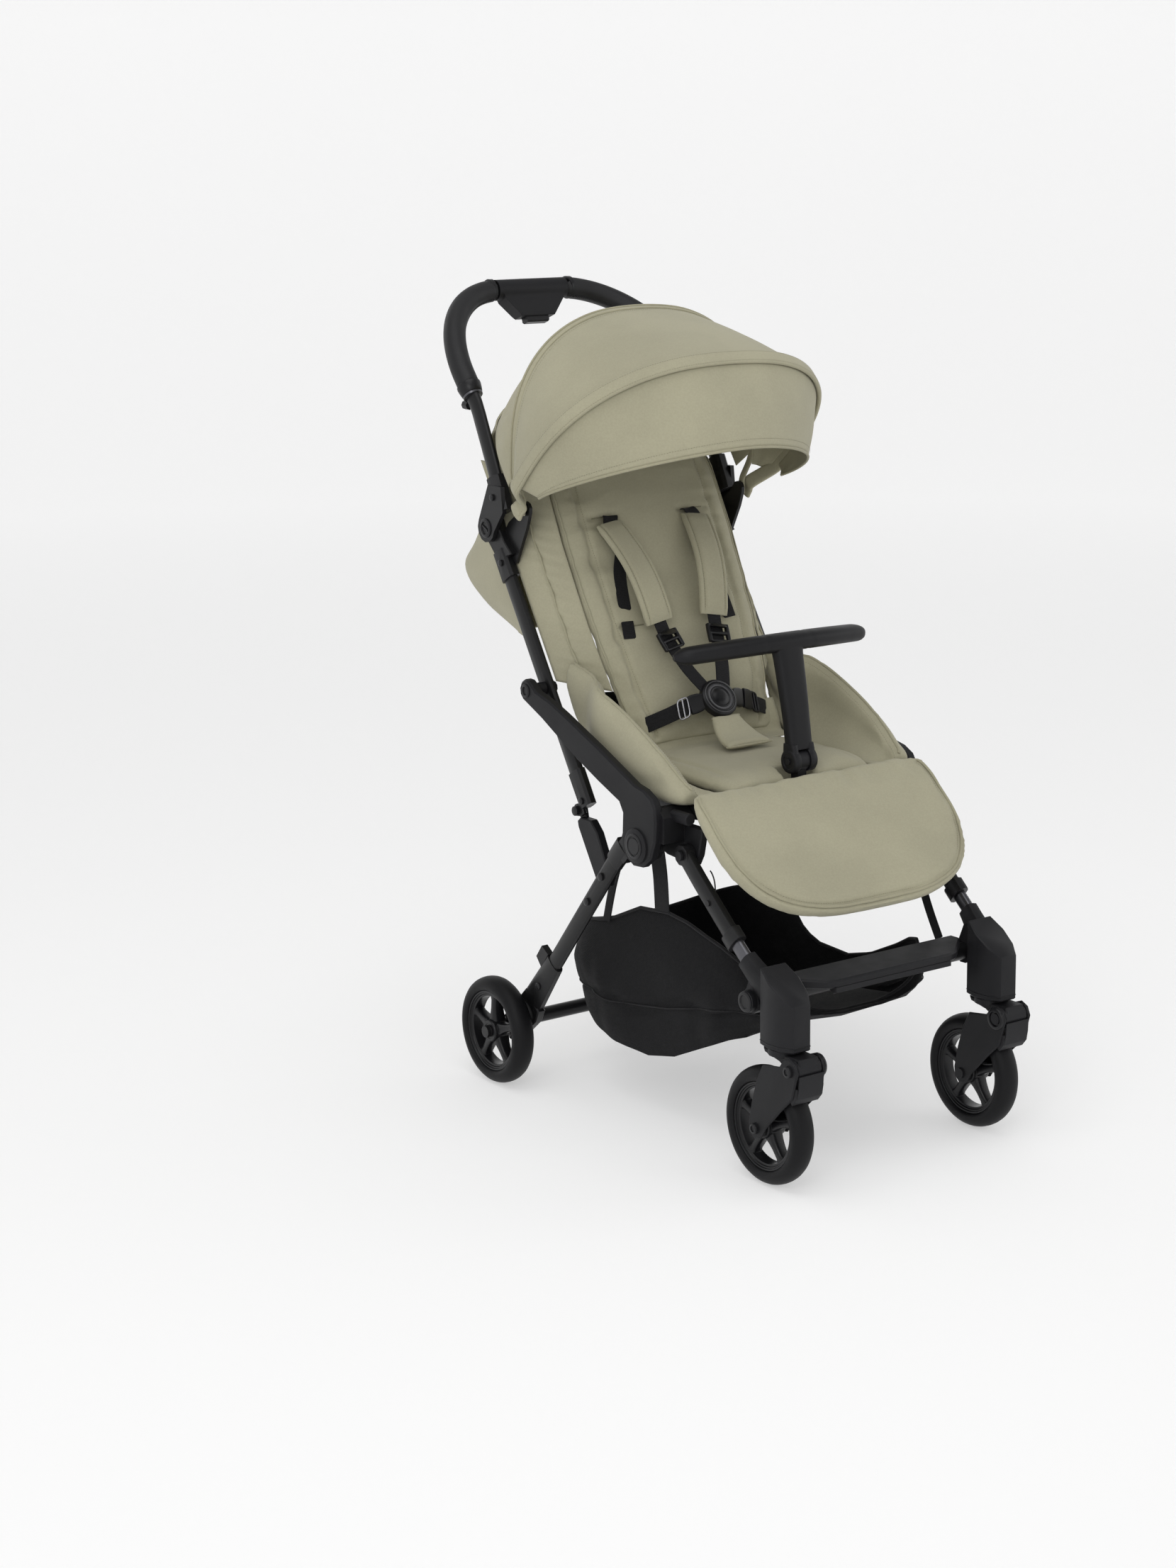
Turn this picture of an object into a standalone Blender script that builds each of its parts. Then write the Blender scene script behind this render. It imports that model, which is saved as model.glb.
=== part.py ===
"""Folding travel stroller as separate named pieces, in metres, +Z up, front towards -Y, left side at -X."""

import math

import bmesh
import bpy
import numpy as np
from mathutils import Matrix, Vector

for old in list(bpy.data.objects):
    bpy.data.objects.remove(old, do_unlink=True)

# Driving dimensions. A point on a side of the frame is (y, z).
SHIFT_Y = -0.008
GAP = 0.0004
FRONT_R = 0.0728
REAR_R = 0.0715
TYRE_HALF = 0.0156
FRONT_X = 0.1655
FRONT_AXLE = (-0.325, FRONT_R)
SWIVEL_Y = -0.355
BARREL = (-0.388, FRONT_R + 0.0872)
BARREL_R = 0.0135
HOUSING_Z = FRONT_R + 0.1052
REAR_X = 0.2180
REAR_AXLE = (0.186, REAR_R)
TUBE_X = 0.1780
TUBE_HALF = 0.0060
LEG_X = 0.1925
LEG_HALF = 0.0058
ARM_IN = 0.1995
ARM_OUT = 0.2125
FRONT_LEG_X = 0.1800
HUB = (-0.122, 0.383)
FRONT_PIVOT = (-0.178, 0.378)
LINK_LOW = (-0.010, 0.318)
LINK_TOP = (0.045, 0.391)
ARM_PIN = (0.1155, 0.5388)
KNEE = (0.236, 0.733)
HANDLE_X = 0.1800
HANDLE_TOP_Z = 1.0265
GRIP_R = 0.0148
BAR_R = 0.0112
CANOPY = (0.167, 0.763)
CROSS = (-0.305, 0.225)
CROSS_R = 0.0110
SEAT_PIVOT = (0.012, 0.462)
REST_PIVOT = (-0.187, 0.457)
REST_SLOPE = math.radians(44.0)
BUMPER_PIVOT = (-0.176, 0.4710)

X = Vector((1, 0, 0))


def material(name, colour, roughness, metallic=0.0):
    found = bpy.data.materials.new(name)
    found.use_nodes = True
    shader = found.node_tree.nodes["Principled BSDF"]
    rgb = [int(colour[i : i + 2], 16) / 255 for i in (0, 2, 4)]
    linear = [c / 12.92 if c <= 0.04045 else ((c + 0.055) / 1.055) ** 2.4 for c in rgb]
    shader.inputs["Base Color"].default_value = (*linear, 1)
    shader.inputs["Roughness"].default_value = roughness
    shader.inputs["Metallic"].default_value = metallic
    found.diffuse_color = (*linear, 1)
    return found


FABRIC = material("sage_fabric", "A5A189", 0.9)
DARK_FABRIC = material("black_fabric", "141416", 0.92)
WEBBING = material("black_webbing", "17171A", 0.85)
PLASTIC = material("black_plastic", "2B2B2D", 0.5)
TUBE = material("black_coated_tube", "2C2C2D", 0.42, 0.4)
RUBBER = material("tyre_rubber", "1E1E20", 0.78)
FOAM = material("grip_leatherette", "222224", 0.62)


# Meshes


def mesh_of(bm):
    bmesh.ops.remove_doubles(bm, verts=bm.verts, dist=1e-6)
    bmesh.ops.recalc_face_normals(bm, faces=bm.faces)
    mesh = bpy.data.meshes.new("piece")
    bm.to_mesh(mesh)
    bm.free()
    return mesh


def loft(rings, closed=False):
    """A closed body through rings of points, each with the same number of them."""
    bm = bmesh.new()
    rows = [[bm.verts.new(p) for p in ring] for ring in rings]
    count = len(rows[0])
    pairs = list(zip(rows, rows[1:]))
    if closed:
        pairs.append((rows[-1], rows[0]))
    for a, b in pairs:
        for i in range(count):
            j = (i + 1) % count
            bm.faces.new((a[i], a[j], b[j], b[i]))
    if not closed:
        bm.faces.new(rows[0])
        bm.faces.new(rows[-1][::-1])
    return mesh_of(bm)


def power(value, exponent):
    return math.copysign(abs(value) ** exponent, value)


def oval(centre, u, v, a, b, count=12, exponent=2.0, turn=0.0):
    """Points of a rounded section about centre, a along u and b along v."""
    points = []
    for i in range(count):
        t = 2 * math.pi * (i + turn) / count
        across = a * power(math.cos(t), 2 / exponent)
        up = b * power(math.sin(t), 2 / exponent)
        points.append(Vector(centre) + u * across + v * up)
    return points


def frames(path, side, closed=False):
    """Tangent, side and normal directions along a path."""
    points = [Vector(p) for p in path]
    found = []
    for i, p in enumerate(points):
        if closed:
            along = points[(i + 1) % len(points)] - points[i - 1]
        else:
            along = points[min(i + 1, len(points) - 1)] - points[max(i - 1, 0)]
        along.normalize()
        across = (Vector(side) - along * along.dot(Vector(side))).normalized()
        found.append((p, across, along.cross(across)))
    return found


def sweep(path, a, b, count=10, exponent=2.6, side=X, closed=False, turn=0.0):
    """A bar of rounded section along a path. a and b may be lists, one value for each point."""
    widths = a if isinstance(a, (list, tuple)) else [a] * len(path)
    heights = b if isinstance(b, (list, tuple)) else [b] * len(path)
    rings = []
    for (p, u, v), w, h in zip(frames(path, side, closed), widths, heights):
        rings.append(oval(p, u, v, w, h, count, exponent, turn))
    return loft(rings, closed)


def sleeve(path, outer, inner, count=12, side=X):
    """A hollow round cover along a path, open at both ends."""
    found = frames(path, side)
    rings = [oval(p, u, v, inner, inner, count) for p, u, v in found]
    rings += [oval(p, u, v, outer, outer, count) for p, u, v in reversed(found)]
    return loft(rings, closed=True)


def inset(profile, amount):
    """The polygon with its corners moved inwards by about the amount."""
    points = [Vector(p) for p in profile]
    area = sum(a.x * b.y - b.x * a.y for a, b in zip(points, points[1:] + points[:1]))
    sign = 1 if area > 0 else -1
    moved = []
    for i, p in enumerate(points):
        a = (p - points[i - 1]).normalized()
        b = (points[(i + 1) % len(points)] - p).normalized()
        normal = Vector((-(a.y + b.y), a.x + b.x)) * sign
        if normal.length < 1e-6:
            normal = Vector((-a.y, a.x)) * sign
        normal.normalize()
        spread = max(0.4, abs(normal.dot(Vector((-a.y, a.x)))))
        moved.append(p + normal * amount / spread)
    return moved


def plate(profile, x0, x1, edge=0.0015):
    """A (y, z) outline between two x positions, with bevelled edges where edge is set."""
    if not edge:
        return loft([[Vector((x, p[0], p[1])) for p in profile] for x in (x0, x1)])
    small = inset(profile, edge)
    rings = []
    for x, outline in ((x0, small), (x0 + edge, profile), (x1 - edge, profile), (x1, small)):
        rings.append([Vector((x, p[0], p[1])) for p in outline])
    return loft(rings)


def prism(profile, z0, z1, edge=0.0015):
    """An (x, y) outline between two heights. z0 and z1 may be functions of (x, y)."""
    low = z0 if callable(z0) else lambda x, y: z0
    high = z1 if callable(z1) else lambda x, y: z1
    small = inset(profile, edge)
    rings = [
        [Vector((p[0], p[1], low(*p))) for p in small],
        [Vector((p[0], p[1], low(*p) + edge)) for p in profile],
        [Vector((p[0], p[1], high(*p) - edge)) for p in profile],
        [Vector((p[0], p[1], high(*p))) for p in small],
    ]
    return loft(rings)


def rod(start, end, radius, count=12, edge=0.0):
    """A round bar between two points, with bevelled ends where edge is set."""
    a, b = Vector(start), Vector(end)
    along = (b - a).normalized()
    u = along.orthogonal().normalized()
    v = along.cross(u)
    if not edge:
        return loft([oval(p, u, v, radius, radius, count) for p in (a, b)])
    stations = ((a, radius - edge), (a + along * edge, radius), (b - along * edge, radius), (b, radius - edge))
    return loft([oval(p, u, v, r, r, count) for p, r in stations])


def lathe_x(profile, centre, count=32, closed=False):
    """A turned piece: (x, radius) pairs about an axis along x through the centre."""
    rings = []
    for x, r in profile:
        middle = Vector((centre[0] + x, centre[1], centre[2]))
        rings.append(oval(middle, Vector((0, 1, 0)), Vector((0, 0, 1)), r, r, count))
    return loft(rings, closed)


def combine(base, others, operation="UNION"):
    """The base mesh joined with the others, or cut by them."""
    main = bpy.data.objects.new("base", base)
    bpy.context.scene.collection.objects.link(main)
    helpers = []
    for other in others:
        helper = bpy.data.objects.new("helper", other)
        bpy.context.scene.collection.objects.link(helper)
        helper.hide_render = True
        helpers.append(helper)
        step = main.modifiers.new("step", "BOOLEAN")
        step.operation = operation
        step.solver = "EXACT"
        step.object = helper
    graph = bpy.context.evaluated_depsgraph_get()
    result = bpy.data.meshes.new_from_object(main.evaluated_get(graph))
    for helper in [main] + helpers:
        bpy.data.objects.remove(helper, do_unlink=True)
    return result


def join(*meshes):
    return combine(meshes[0], meshes[1:])


def cut(base, *cutters):
    return combine(base, cutters, "DIFFERENCE")


def mirrored(mesh):
    other = mesh.copy()
    other.transform(Matrix.Diagonal((-1, 1, 1, 1)))
    other.flip_normals()
    return other


def add(name, mesh, surface, pivot=(0.0, 0.0, 0.0)):
    """A finished piece, with its origin on its joint."""
    middle = Vector((pivot[0], pivot[1] + SHIFT_Y, pivot[2]))
    mesh.transform(Matrix.Translation(Vector((0, SHIFT_Y, 0)) - middle))
    mesh.name = name
    mesh.materials.clear()
    mesh.materials.append(surface)
    mesh.shade_smooth()
    mesh.set_sharp_from_angle(angle=math.radians(34))
    piece = bpy.data.objects.new(name, mesh)
    piece.location = middle
    bpy.context.scene.collection.objects.link(piece)
    return piece


def both(name, mesh, surface, pivot=(0.0, 0.0, 0.0)):
    """A left piece and its mirrored right one."""
    other = mirrored(mesh)
    add(name + "_L", mesh, surface, pivot)
    add(name + "_R", other, surface, (-pivot[0], pivot[1], pivot[2]))


def at(point, x=0.0):
    return (x, point[0], point[1])


def arc(centre, radius, first, last, count):
    """Points of an arc in the (y, z) plane, angles in degrees."""
    found = []
    for i in range(count):
        t = math.radians(first + (last - first) * i / (count - 1))
        found.append((centre[0] + radius * math.cos(t), centre[1] + radius * math.sin(t)))
    return found


# Wheels: a round-crowned tyre on a five-spoke rim


def tyre(x, axle, radius, bore):
    half = TYRE_HALF
    crown = [
        (-0.0116, bore),
        (-half, radius - 0.0115),
        (-0.0126, radius - 0.0048),
        (-0.0064, radius - 0.0010),
        (0.0, radius),
    ]
    profile = crown + [(-px, pr) for px, pr in reversed(crown[:-1])]
    return lathe_x(profile, (x, axle[0], axle[1]), 24, closed=True)


def rim(x, axle, bore):
    """Outer ring, hub and spokes, 0.3 mm inside the tyre."""
    centre = (x, axle[0], axle[1])
    outer = bore - 0.0003
    inner = outer - 0.0068
    ring = [(-0.0118, inner), (-0.0118, outer), (0.0118, outer), (0.0118, inner)]
    body = lathe_x(ring, centre, 24, closed=True)
    hub = lathe_x([(-0.0140, 0.0150), (0.0, 0.0175), (0.0140, 0.0150)], centre, 12)
    spokes = []
    for i in range(5):
        t = math.radians(90 + 72 * i)
        out = Vector((0, math.cos(t), math.sin(t)))
        middle = Vector(centre)
        path = [middle + out * 0.012, middle + out * (inner + 0.0022)]
        spokes.append(sweep(path, [0.0068, 0.0056], [0.0085, 0.0065], 6, 2.4, turn=0.5))
    body = join(body, hub, *spokes)
    hole = rod((x - 0.03, *axle), (x + 0.03, *axle), 0.0045, 8)
    return cut(body, hole)


FRONT_BORE = FRONT_R - 0.0183
REAR_BORE = REAR_R - 0.0177
front_pivot = (-FRONT_X, *FRONT_AXLE)
rear_pivot = (-REAR_X, *REAR_AXLE)
both("front_tyre", tyre(-FRONT_X, FRONT_AXLE, FRONT_R, FRONT_BORE), RUBBER, front_pivot)
both("front_rim", rim(-FRONT_X, FRONT_AXLE, FRONT_BORE), PLASTIC, front_pivot)
both("rear_tyre", tyre(-REAR_X, REAR_AXLE, REAR_R, REAR_BORE), RUBBER, rear_pivot)
both("rear_rim", rim(-REAR_X, REAR_AXLE, REAR_BORE), PLASTIC, rear_pivot)

# Trailing forks, swivel knuckles and caster housings

FORK_OUTLINE = [
    (-0.4035, 0.1600),
    (-0.3985, 0.1710),
    (-0.3880, 0.1755),
    (-0.3770, 0.1712),
    (-0.3690, 0.1610),
    (-0.3380, 0.1560),
    (-0.3260, 0.1330),
    (-0.3175, 0.1050),
    (-0.3120, 0.0790),
    (-0.3135, 0.0660),
    (-0.3220, 0.0590),
    (-0.3340, 0.0615),
    (-0.3450, 0.0780),
    (-0.3720, 0.1060),
    (-0.3940, 0.1270),
]
FORK_IN = 0.0184
FORK_OUT = 0.0226
near_arm = plate(FORK_OUTLINE, -FRONT_X - FORK_OUT, -FRONT_X - FORK_IN)
far_arm = plate(FORK_OUTLINE, -FRONT_X + FORK_IN, -FRONT_X + FORK_OUT)
bridge_outline = [(-0.4015, 0.1410), (-0.3740, 0.1420), (-0.3800, 0.1310), (-0.3915, 0.1185), (-0.3990, 0.1275)]
bridge = plate(bridge_outline, -FRONT_X - FORK_IN - 0.002, -FRONT_X + FORK_IN + 0.002, 0.0006)
axle = rod(at(FRONT_AXLE, -FRONT_X - 0.0250), at(FRONT_AXLE, -FRONT_X + 0.0250), 0.0040, 8)
pivot = rod(at(BARREL, -FRONT_X - 0.0240), at(BARREL, -FRONT_X + 0.0240), 0.0040, 8)
heads = []
for side in (-1, 1):
    for spot, radius in ((FRONT_AXLE, 0.0070), (BARREL, 0.0075)):
        heads.append(rod(at(spot, -FRONT_X + side * 0.0210), at(spot, -FRONT_X + side * 0.0250), radius, 10))
both("fork", join(near_arm, far_arm, bridge, axle, pivot, *heads), PLASTIC, at(BARREL, -FRONT_X))

barrel = rod(at(BARREL, -FRONT_X - FORK_IN + 0.0005), at(BARREL, -FRONT_X + FORK_IN - 0.0005), BARREL_R, 16, 0.0012)
neck_outline = [(-0.4010, 0.1620), (-0.3970, 0.1745), (-0.3300, 0.1745), (-0.3330, 0.1690), (-0.3600, 0.1640), (-0.3780, 0.1540)]
neck = plate(neck_outline, -FRONT_X - 0.0150, -FRONT_X + 0.0150, 0.0015)
turntable = rod((-FRONT_X, SWIVEL_Y, 0.1700), (-FRONT_X, SWIVEL_Y, HOUSING_Z - 0.0005), 0.0215, 18)
stem = rod((-FRONT_X, SWIVEL_Y, 0.1740), (-FRONT_X, SWIVEL_Y, 0.2150), 0.0060, 10)
knuckle = join(barrel, neck, turntable, stem)
bore = rod(at(BARREL, -FRONT_X - 0.03), at(BARREL, -FRONT_X + 0.03), 0.0045, 8)
both("knuckle", cut(knuckle, bore), PLASTIC, (-FRONT_X, SWIVEL_Y, HOUSING_Z))

housing_plan = [
    (-FRONT_X - 0.0125, -0.3850),
    (-FRONT_X + 0.0125, -0.3850),
    (-FRONT_X + 0.0210, -0.3700),
    (-FRONT_X + 0.0235, -0.3500),
    (-FRONT_X + 0.0190, -0.3300),
    (-FRONT_X - 0.0190, -0.3300),
    (-FRONT_X - 0.0235, -0.3500),
    (-FRONT_X - 0.0210, -0.3700),
]
housing = prism(housing_plan, HOUSING_Z, lambda x, y: 0.2360 + (y + 0.385) * 0.68, 0.0016)
low_arm_path = [(-0.1780, -0.2960, 0.2745), (-0.1760, -0.3080, 0.2640), (-0.1720, -0.3320, 0.2440), (-0.1690, -0.3480, 0.2260)]
low_arm = sweep(low_arm_path, [0.0095, 0.0105, 0.0115, 0.0120], [0.0130, 0.0140, 0.0175, 0.0200], 12, 3.2)
boss_outline = arc(CROSS, 0.0160, 150, 420, 9) + [(-0.3060, 0.2600), (-0.3330, 0.2500)]
boss = plate(boss_outline, -0.1790, -0.1620, 0)
end_cap = rod(at(CROSS, -0.1875), at(CROSS, -0.1780), 0.0133, 16, 0.0012)
socket_path = [(-0.1785, -0.2920, 0.2780), (-0.1768, -0.3060, 0.2660), (-0.1755, -0.3120, 0.2608)]
socket = sweep(socket_path, 0.0068, 0.0098, 12, 2.4)
stem_hole = rod((-FRONT_X, SWIVEL_Y, 0.1600), (-FRONT_X, SWIVEL_Y, 0.2200), 0.0064, 10)
caster = cut(join(housing, low_arm, boss, end_cap), stem_hole, socket)
both("caster_housing", caster, PLASTIC, at(FRONT_PIVOT, -FRONT_LEG_X))

# Front legs: an oval upper tube, a collar and a thinner tube that slides out of it

leg_path = [
    (-FRONT_LEG_X, FRONT_PIVOT[0], FRONT_PIVOT[1]),
    (-0.1800, -0.2080, 0.3510),
    (-0.1795, -0.2520, 0.3130),
    (-0.1790, -0.2680, 0.2985),
]
upper = sweep([leg_path[0], leg_path[1], leg_path[3]], 0.0068, 0.0120, 12, 2.8)
eye = plate(arc(FRONT_PIVOT, 0.0130, 0, 324, 10), -FRONT_LEG_X - 0.0066, -FRONT_LEG_X + 0.0066, 0)
collar = sweep([(-0.1790, -0.2660, 0.3000), (-0.1787, -0.2790, 0.2888)], 0.0100, 0.0155, 12, 2.6)
thin = sweep([(-0.1788, -0.2740, 0.2930), (-0.1785, -0.2920, 0.2780), (-0.1770, -0.3045, 0.2673)], 0.0062, 0.0092, 12, 2.4)
rivet = rod((-0.1885, -0.2320, 0.3300), (-0.1830, -0.2320, 0.3300), 0.0040, 8)
pin_hole = rod(at(FRONT_PIVOT, -0.20), at(FRONT_PIVOT, -0.16), 0.0045, 8)
both("front_leg", cut(join(upper, eye, collar, thin, rivet), pin_hole), TUBE, at(FRONT_PIVOT, -FRONT_LEG_X))

cross_end = 0.1620 - 0.0004
add("cross_tube", rod(at(CROSS, -cross_end), at(CROSS, cross_end), CROSS_R, 16), TUBE, at(CROSS))
board_plan = [(-0.140, -0.3060), (-0.143, -0.3200), (-0.104, -0.3560), (-0.090, -0.3600)]
board_plan += [(-px, py) for px, py in reversed(board_plan)]
board = prism(board_plan, lambda x, y: 0.2362, lambda x, y: 0.2500 + (y + 0.305) * 0.06, 0.0022)
lip_outline = [(-0.3600, 0.2375), (-0.3480, 0.2395), (-0.3450, 0.2345), (-0.3540, 0.2285), (-0.3600, 0.2310)]
lip = plate(lip_outline, -0.0930, 0.0930, 0.0010)
add("footboard", join(board, lip), PLASTIC, at(CROSS))

# Rear legs: hub knuckle, neck, collar, oval tube, sleeve and wheel housing

RL = [(-0.0640, 0.3620), (-0.0540, 0.3510), (0.0083, 0.2780), (0.0950, 0.1700), (0.1120, 0.1488)]
knuckle_disc = rod(at(HUB, -LEG_X - 0.0058), at(HUB, -LEG_X + 0.0058), 0.0215, 18)
leg_neck = plate([(-0.1080, 0.4040), (-0.0880, 0.3960), (-0.0540, 0.3650), (-0.0740, 0.3480), (-0.0950, 0.3680), (-0.1080, 0.3760)], -LEG_X - 0.0054, -LEG_X + 0.0054, 0)
leg_tube = sweep([at(RL[1], -LEG_X), at(RL[3], -LEG_X)], LEG_HALF, 0.0118, 12, 2.8)
leg_collar = sweep([at((-0.0700, 0.3690), -LEG_X), at((-0.0480, 0.3445), -LEG_X)], 0.0066, [0.0150, 0.0140], 10, 3.0)
sleeve_path = [(-LEG_X, 0.0860, 0.1812), (-LEG_X, 0.1020, 0.1613), (-LEG_X, 0.1300, 0.1265), (-LEG_X, 0.1480, 0.1040)]
leg_sleeve = sweep(sleeve_path[:1] + sleeve_path[2:], 0.0066, [0.0145, 0.0185, 0.0200], 10, 3.4)
foot_outline = [
    (0.1180, 0.1080),
    (0.1260, 0.0920),
    (0.1640, 0.0600),
    (0.1860, 0.0530),
    (0.2040, 0.0640),
    (0.2060, 0.0790),
    (0.1900, 0.0930),
    (0.1660, 0.1160),
    (0.1480, 0.1330),
]
leg_foot = plate(foot_outline, -LEG_X - 0.0062, -LEG_X + 0.0062, 0.0016)
clip = plate([(0.0960, 0.1910), (0.1100, 0.2000), (0.1230, 0.1830), (0.1120, 0.1700)], -LEG_X - 0.0045, -LEG_X + 0.0045, 0)
bosses = []
for spot, radius in (((-0.0270, 0.3215), 0.0050), ((0.0040, 0.2825), 0.0050), ((0.1160, 0.1440), 0.0045)):
    bosses.append(rod(at(spot, -LEG_X - 0.0074), at(spot, -LEG_X - 0.0030), radius, 8))
wheel_pin = rod(at(REAR_AXLE, -REAR_X - 0.0165), at(REAR_AXLE, -LEG_X), 0.0040, 10)
pin_head = rod(at(REAR_AXLE, -REAR_X - 0.0200), at(REAR_AXLE, -REAR_X - 0.0145), 0.0080, 12)
hub_hole = rod(at(HUB, -0.21), at(HUB, -0.17), 0.0085, 10)
rear_leg = join(leg_tube, knuckle_disc, leg_neck, leg_collar, leg_sleeve, leg_foot, clip, wheel_pin, pin_head, *bosses)
both("rear_leg", cut(rear_leg, hub_hole), TUBE, at(HUB, -LEG_X))

inner_face = LEG_X - 0.0064
axle_tube = rod(at((0.1800, 0.0800), -inner_face + GAP), at((0.1800, 0.0800), inner_face - GAP), 0.0095, 16)
add("rear_axle", axle_tube, TUBE, at(HUB))
pedal_arm = sweep([(0.0, 0.1915, 0.0790), (0.0, 0.2120, 0.0750), (0.0, 0.2330, 0.0700)], [0.030, 0.034, 0.030], [0.0035, 0.0040, 0.0030], 8, 4.0)
pedal_ring = lathe_x([(-0.028, 0.0100), (-0.028, 0.0128), (0.028, 0.0128), (0.028, 0.0100)], (0.0, 0.1800, 0.0800), 12, closed=True)
add("brake_pedal", join(pedal_ring, pedal_arm), PLASTIC, (0.0, 0.1800, 0.0800))

# Arms: pivot cheek at the back tube, tapered beam, hub disc, front bracket and leg lug

ARM_OUTLINE = [
    *[(ARM_PIN[0] + 0.0150 * math.cos(math.radians(a)), ARM_PIN[1] + 0.0150 * math.sin(math.radians(a))) for a in range(-60, 111, 34)],
    (0.0940, 0.5410),
    (0.0640, 0.5330),
    (0.0325, 0.5215),
    (-0.0420, 0.4915),
    (-0.1180, 0.4585),
    (-0.1360, 0.4550),
    (-0.1520, 0.4470),
    (-0.1590, 0.4360),
    (-0.1610, 0.4180),
    (-0.1590, 0.3940),
    (-0.1500, 0.3710),
    (-0.1330, 0.3575),
    (-0.1130, 0.3560),
    (-0.0970, 0.3640),
    (-0.0905, 0.3820),
    (-0.0925, 0.4190),
    (-0.0850, 0.4310),
    (-0.0400, 0.4490),
    (0.0069, 0.4695),
    (0.0833, 0.5085),
]
arm = plate(ARM_OUTLINE, -ARM_OUT, -ARM_IN, 0.0024)
disc = lathe_x([(-0.0166, 0.0165), (-0.0166, 0.0185), (-0.0150, 0.0220), (0.0, 0.0235)], (-ARM_IN, *HUB), 22)
hub_pin = rod(at(HUB, -ARM_OUT + 0.002), at(HUB, -0.1700), 0.0080, 10)
block = plate([(-0.1670, 0.3920), (-0.1670, 0.4240), (-0.1560, 0.4340), (-0.1440, 0.4340), (-0.1440, 0.3920)], -0.2040, -0.1600, 0)
stub = rod((-0.1840, -0.1600, 0.4250), (-0.1840, -0.1940, 0.4250), 0.0078, 10, 0.0010)
LUG = [(-0.0950, 0.4130), (-0.2000, 0.4130), (-0.2020, 0.4080), (-0.1950, 0.3780), (-0.1880, 0.3655), (-0.1680, 0.3655), (-0.1300, 0.3680), (-0.1000, 0.3800)]
lug = plate(LUG, -0.1728, -0.1620, 0.0014)
leg_pin = rod(at(FRONT_PIVOT, -0.1885), at(FRONT_PIVOT, -0.1660), 0.0040, 8)
leg_pin_head = rod(at(FRONT_PIVOT, -0.1910), at(FRONT_PIVOT, -0.1874), 0.0065, 10)
tube_pin = rod(at(ARM_PIN, -ARM_IN - 0.002), at(ARM_PIN, -TUBE_X + TUBE_HALF + 0.003), 0.0045, 10)
spacer = rod(at(ARM_PIN, -ARM_IN - 0.0010), at(ARM_PIN, -TUBE_X - TUBE_HALF - 0.0006), 0.0085, 12)
tube_pin_head = rod(at(ARM_PIN, -TUBE_X + TUBE_HALF + 0.0005), at(ARM_PIN, -TUBE_X + TUBE_HALF + 0.0035), 0.0080, 10)
arm_piece = join(arm, disc, hub_pin, block, stub, lug, leg_pin, leg_pin_head, tube_pin, tube_pin_head, spacer)
both("arm", arm_piece, PLASTIC, at(HUB, -ARM_IN))

# Seat rail: a closed oval-tube loop under the seat


def rounded_loop(half_x, y0, y1, z, radius, steps=4):
    path = []
    for cx, cy, first in (
        (half_x - radius, y1 - radius, 0),
        (-half_x + radius, y1 - radius, 90),
        (-half_x + radius, y0 + radius, 180),
        (half_x - radius, y0 + radius, 270),
    ):
        for i in range(steps + 1):
            t = math.radians(first + 90 * i / steps)
            path.append((cx + radius * math.cos(t), cy + radius * math.sin(t), z))
    return path


rail_path = rounded_loop(0.1535, -0.1880, 0.0000, 0.4240, 0.030, 3)
add("seat_rail", sweep(rail_path, 0.0095, 0.0058, 10, 2.8, Vector((0, 0, 1)), closed=True), TUBE, at(HUB))

# Back tubes, links, knee fittings


def tube_y(z):
    return 0.024 + 0.6246 * (z - 0.393)


def on_tube(z, x=-TUBE_X):
    return (x, tube_y(z), z)


back = sweep([on_tube(0.4240), on_tube(0.6980)], TUBE_HALF, 0.0122, 12, 2.8)
low_cap = sweep([on_tube(0.3990), on_tube(0.4400)], 0.0074, [0.0140, 0.0145], 10, 3.2)
d_lug = plate([(0.0300, 0.3900), (0.0370, 0.3850), *arc(LINK_TOP, 0.0090, -60, 110, 7), (0.0430, 0.4180)], -TUBE_X - 0.0060, -TUBE_X - 0.0004, 0.0010)
knee_low = sweep([on_tube(0.6700), on_tube(0.7040)], 0.0085, [0.0148, 0.0140], 10, 3.2)
bracket = plate([(0.1900, 0.6900), (0.2240, 0.7180), (0.2060, 0.7420), (0.1860, 0.7560), *arc(CANOPY, 0.0105, 20, 200, 6), (0.1640, 0.7400)], -0.1751, -0.1705, 0)
tongue = plate([(0.1880, 0.7040), (0.2180, 0.6900), *arc(KNEE, 0.0180, -50, 170, 9), (0.2040, 0.7180)], -TUBE_X - 0.0058, -TUBE_X + 0.0080, 0.0012)
knee_rivet = rod(at((0.2080, 0.6900), -TUBE_X - 0.0095), at((0.2080, 0.6900), -TUBE_X), 0.0042, 8)
tube_rivet = rod(at((0.0330, 0.4060), -TUBE_X - 0.0085), at((0.0330, 0.4060), -TUBE_X), 0.0042, 8)
holes = [
    rod(at(ARM_PIN, -0.22), at(ARM_PIN, -0.15), 0.0050, 10),
    rod(at(KNEE, -0.22), at(KNEE, -0.15), 0.0055, 12),
    rod(at(LINK_TOP, -0.22), at(LINK_TOP, -0.15), 0.0040, 8),
    rod(at(LINK_TOP, -TUBE_X), at(LINK_TOP, -0.15), 0.0125, 12),
]
back_tube = cut(join(back, low_cap, d_lug, knee_low, tongue, bracket, knee_rivet, tube_rivet), *holes)
both("back_tube", back_tube, TUBE, at(ARM_PIN, -TUBE_X))

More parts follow.
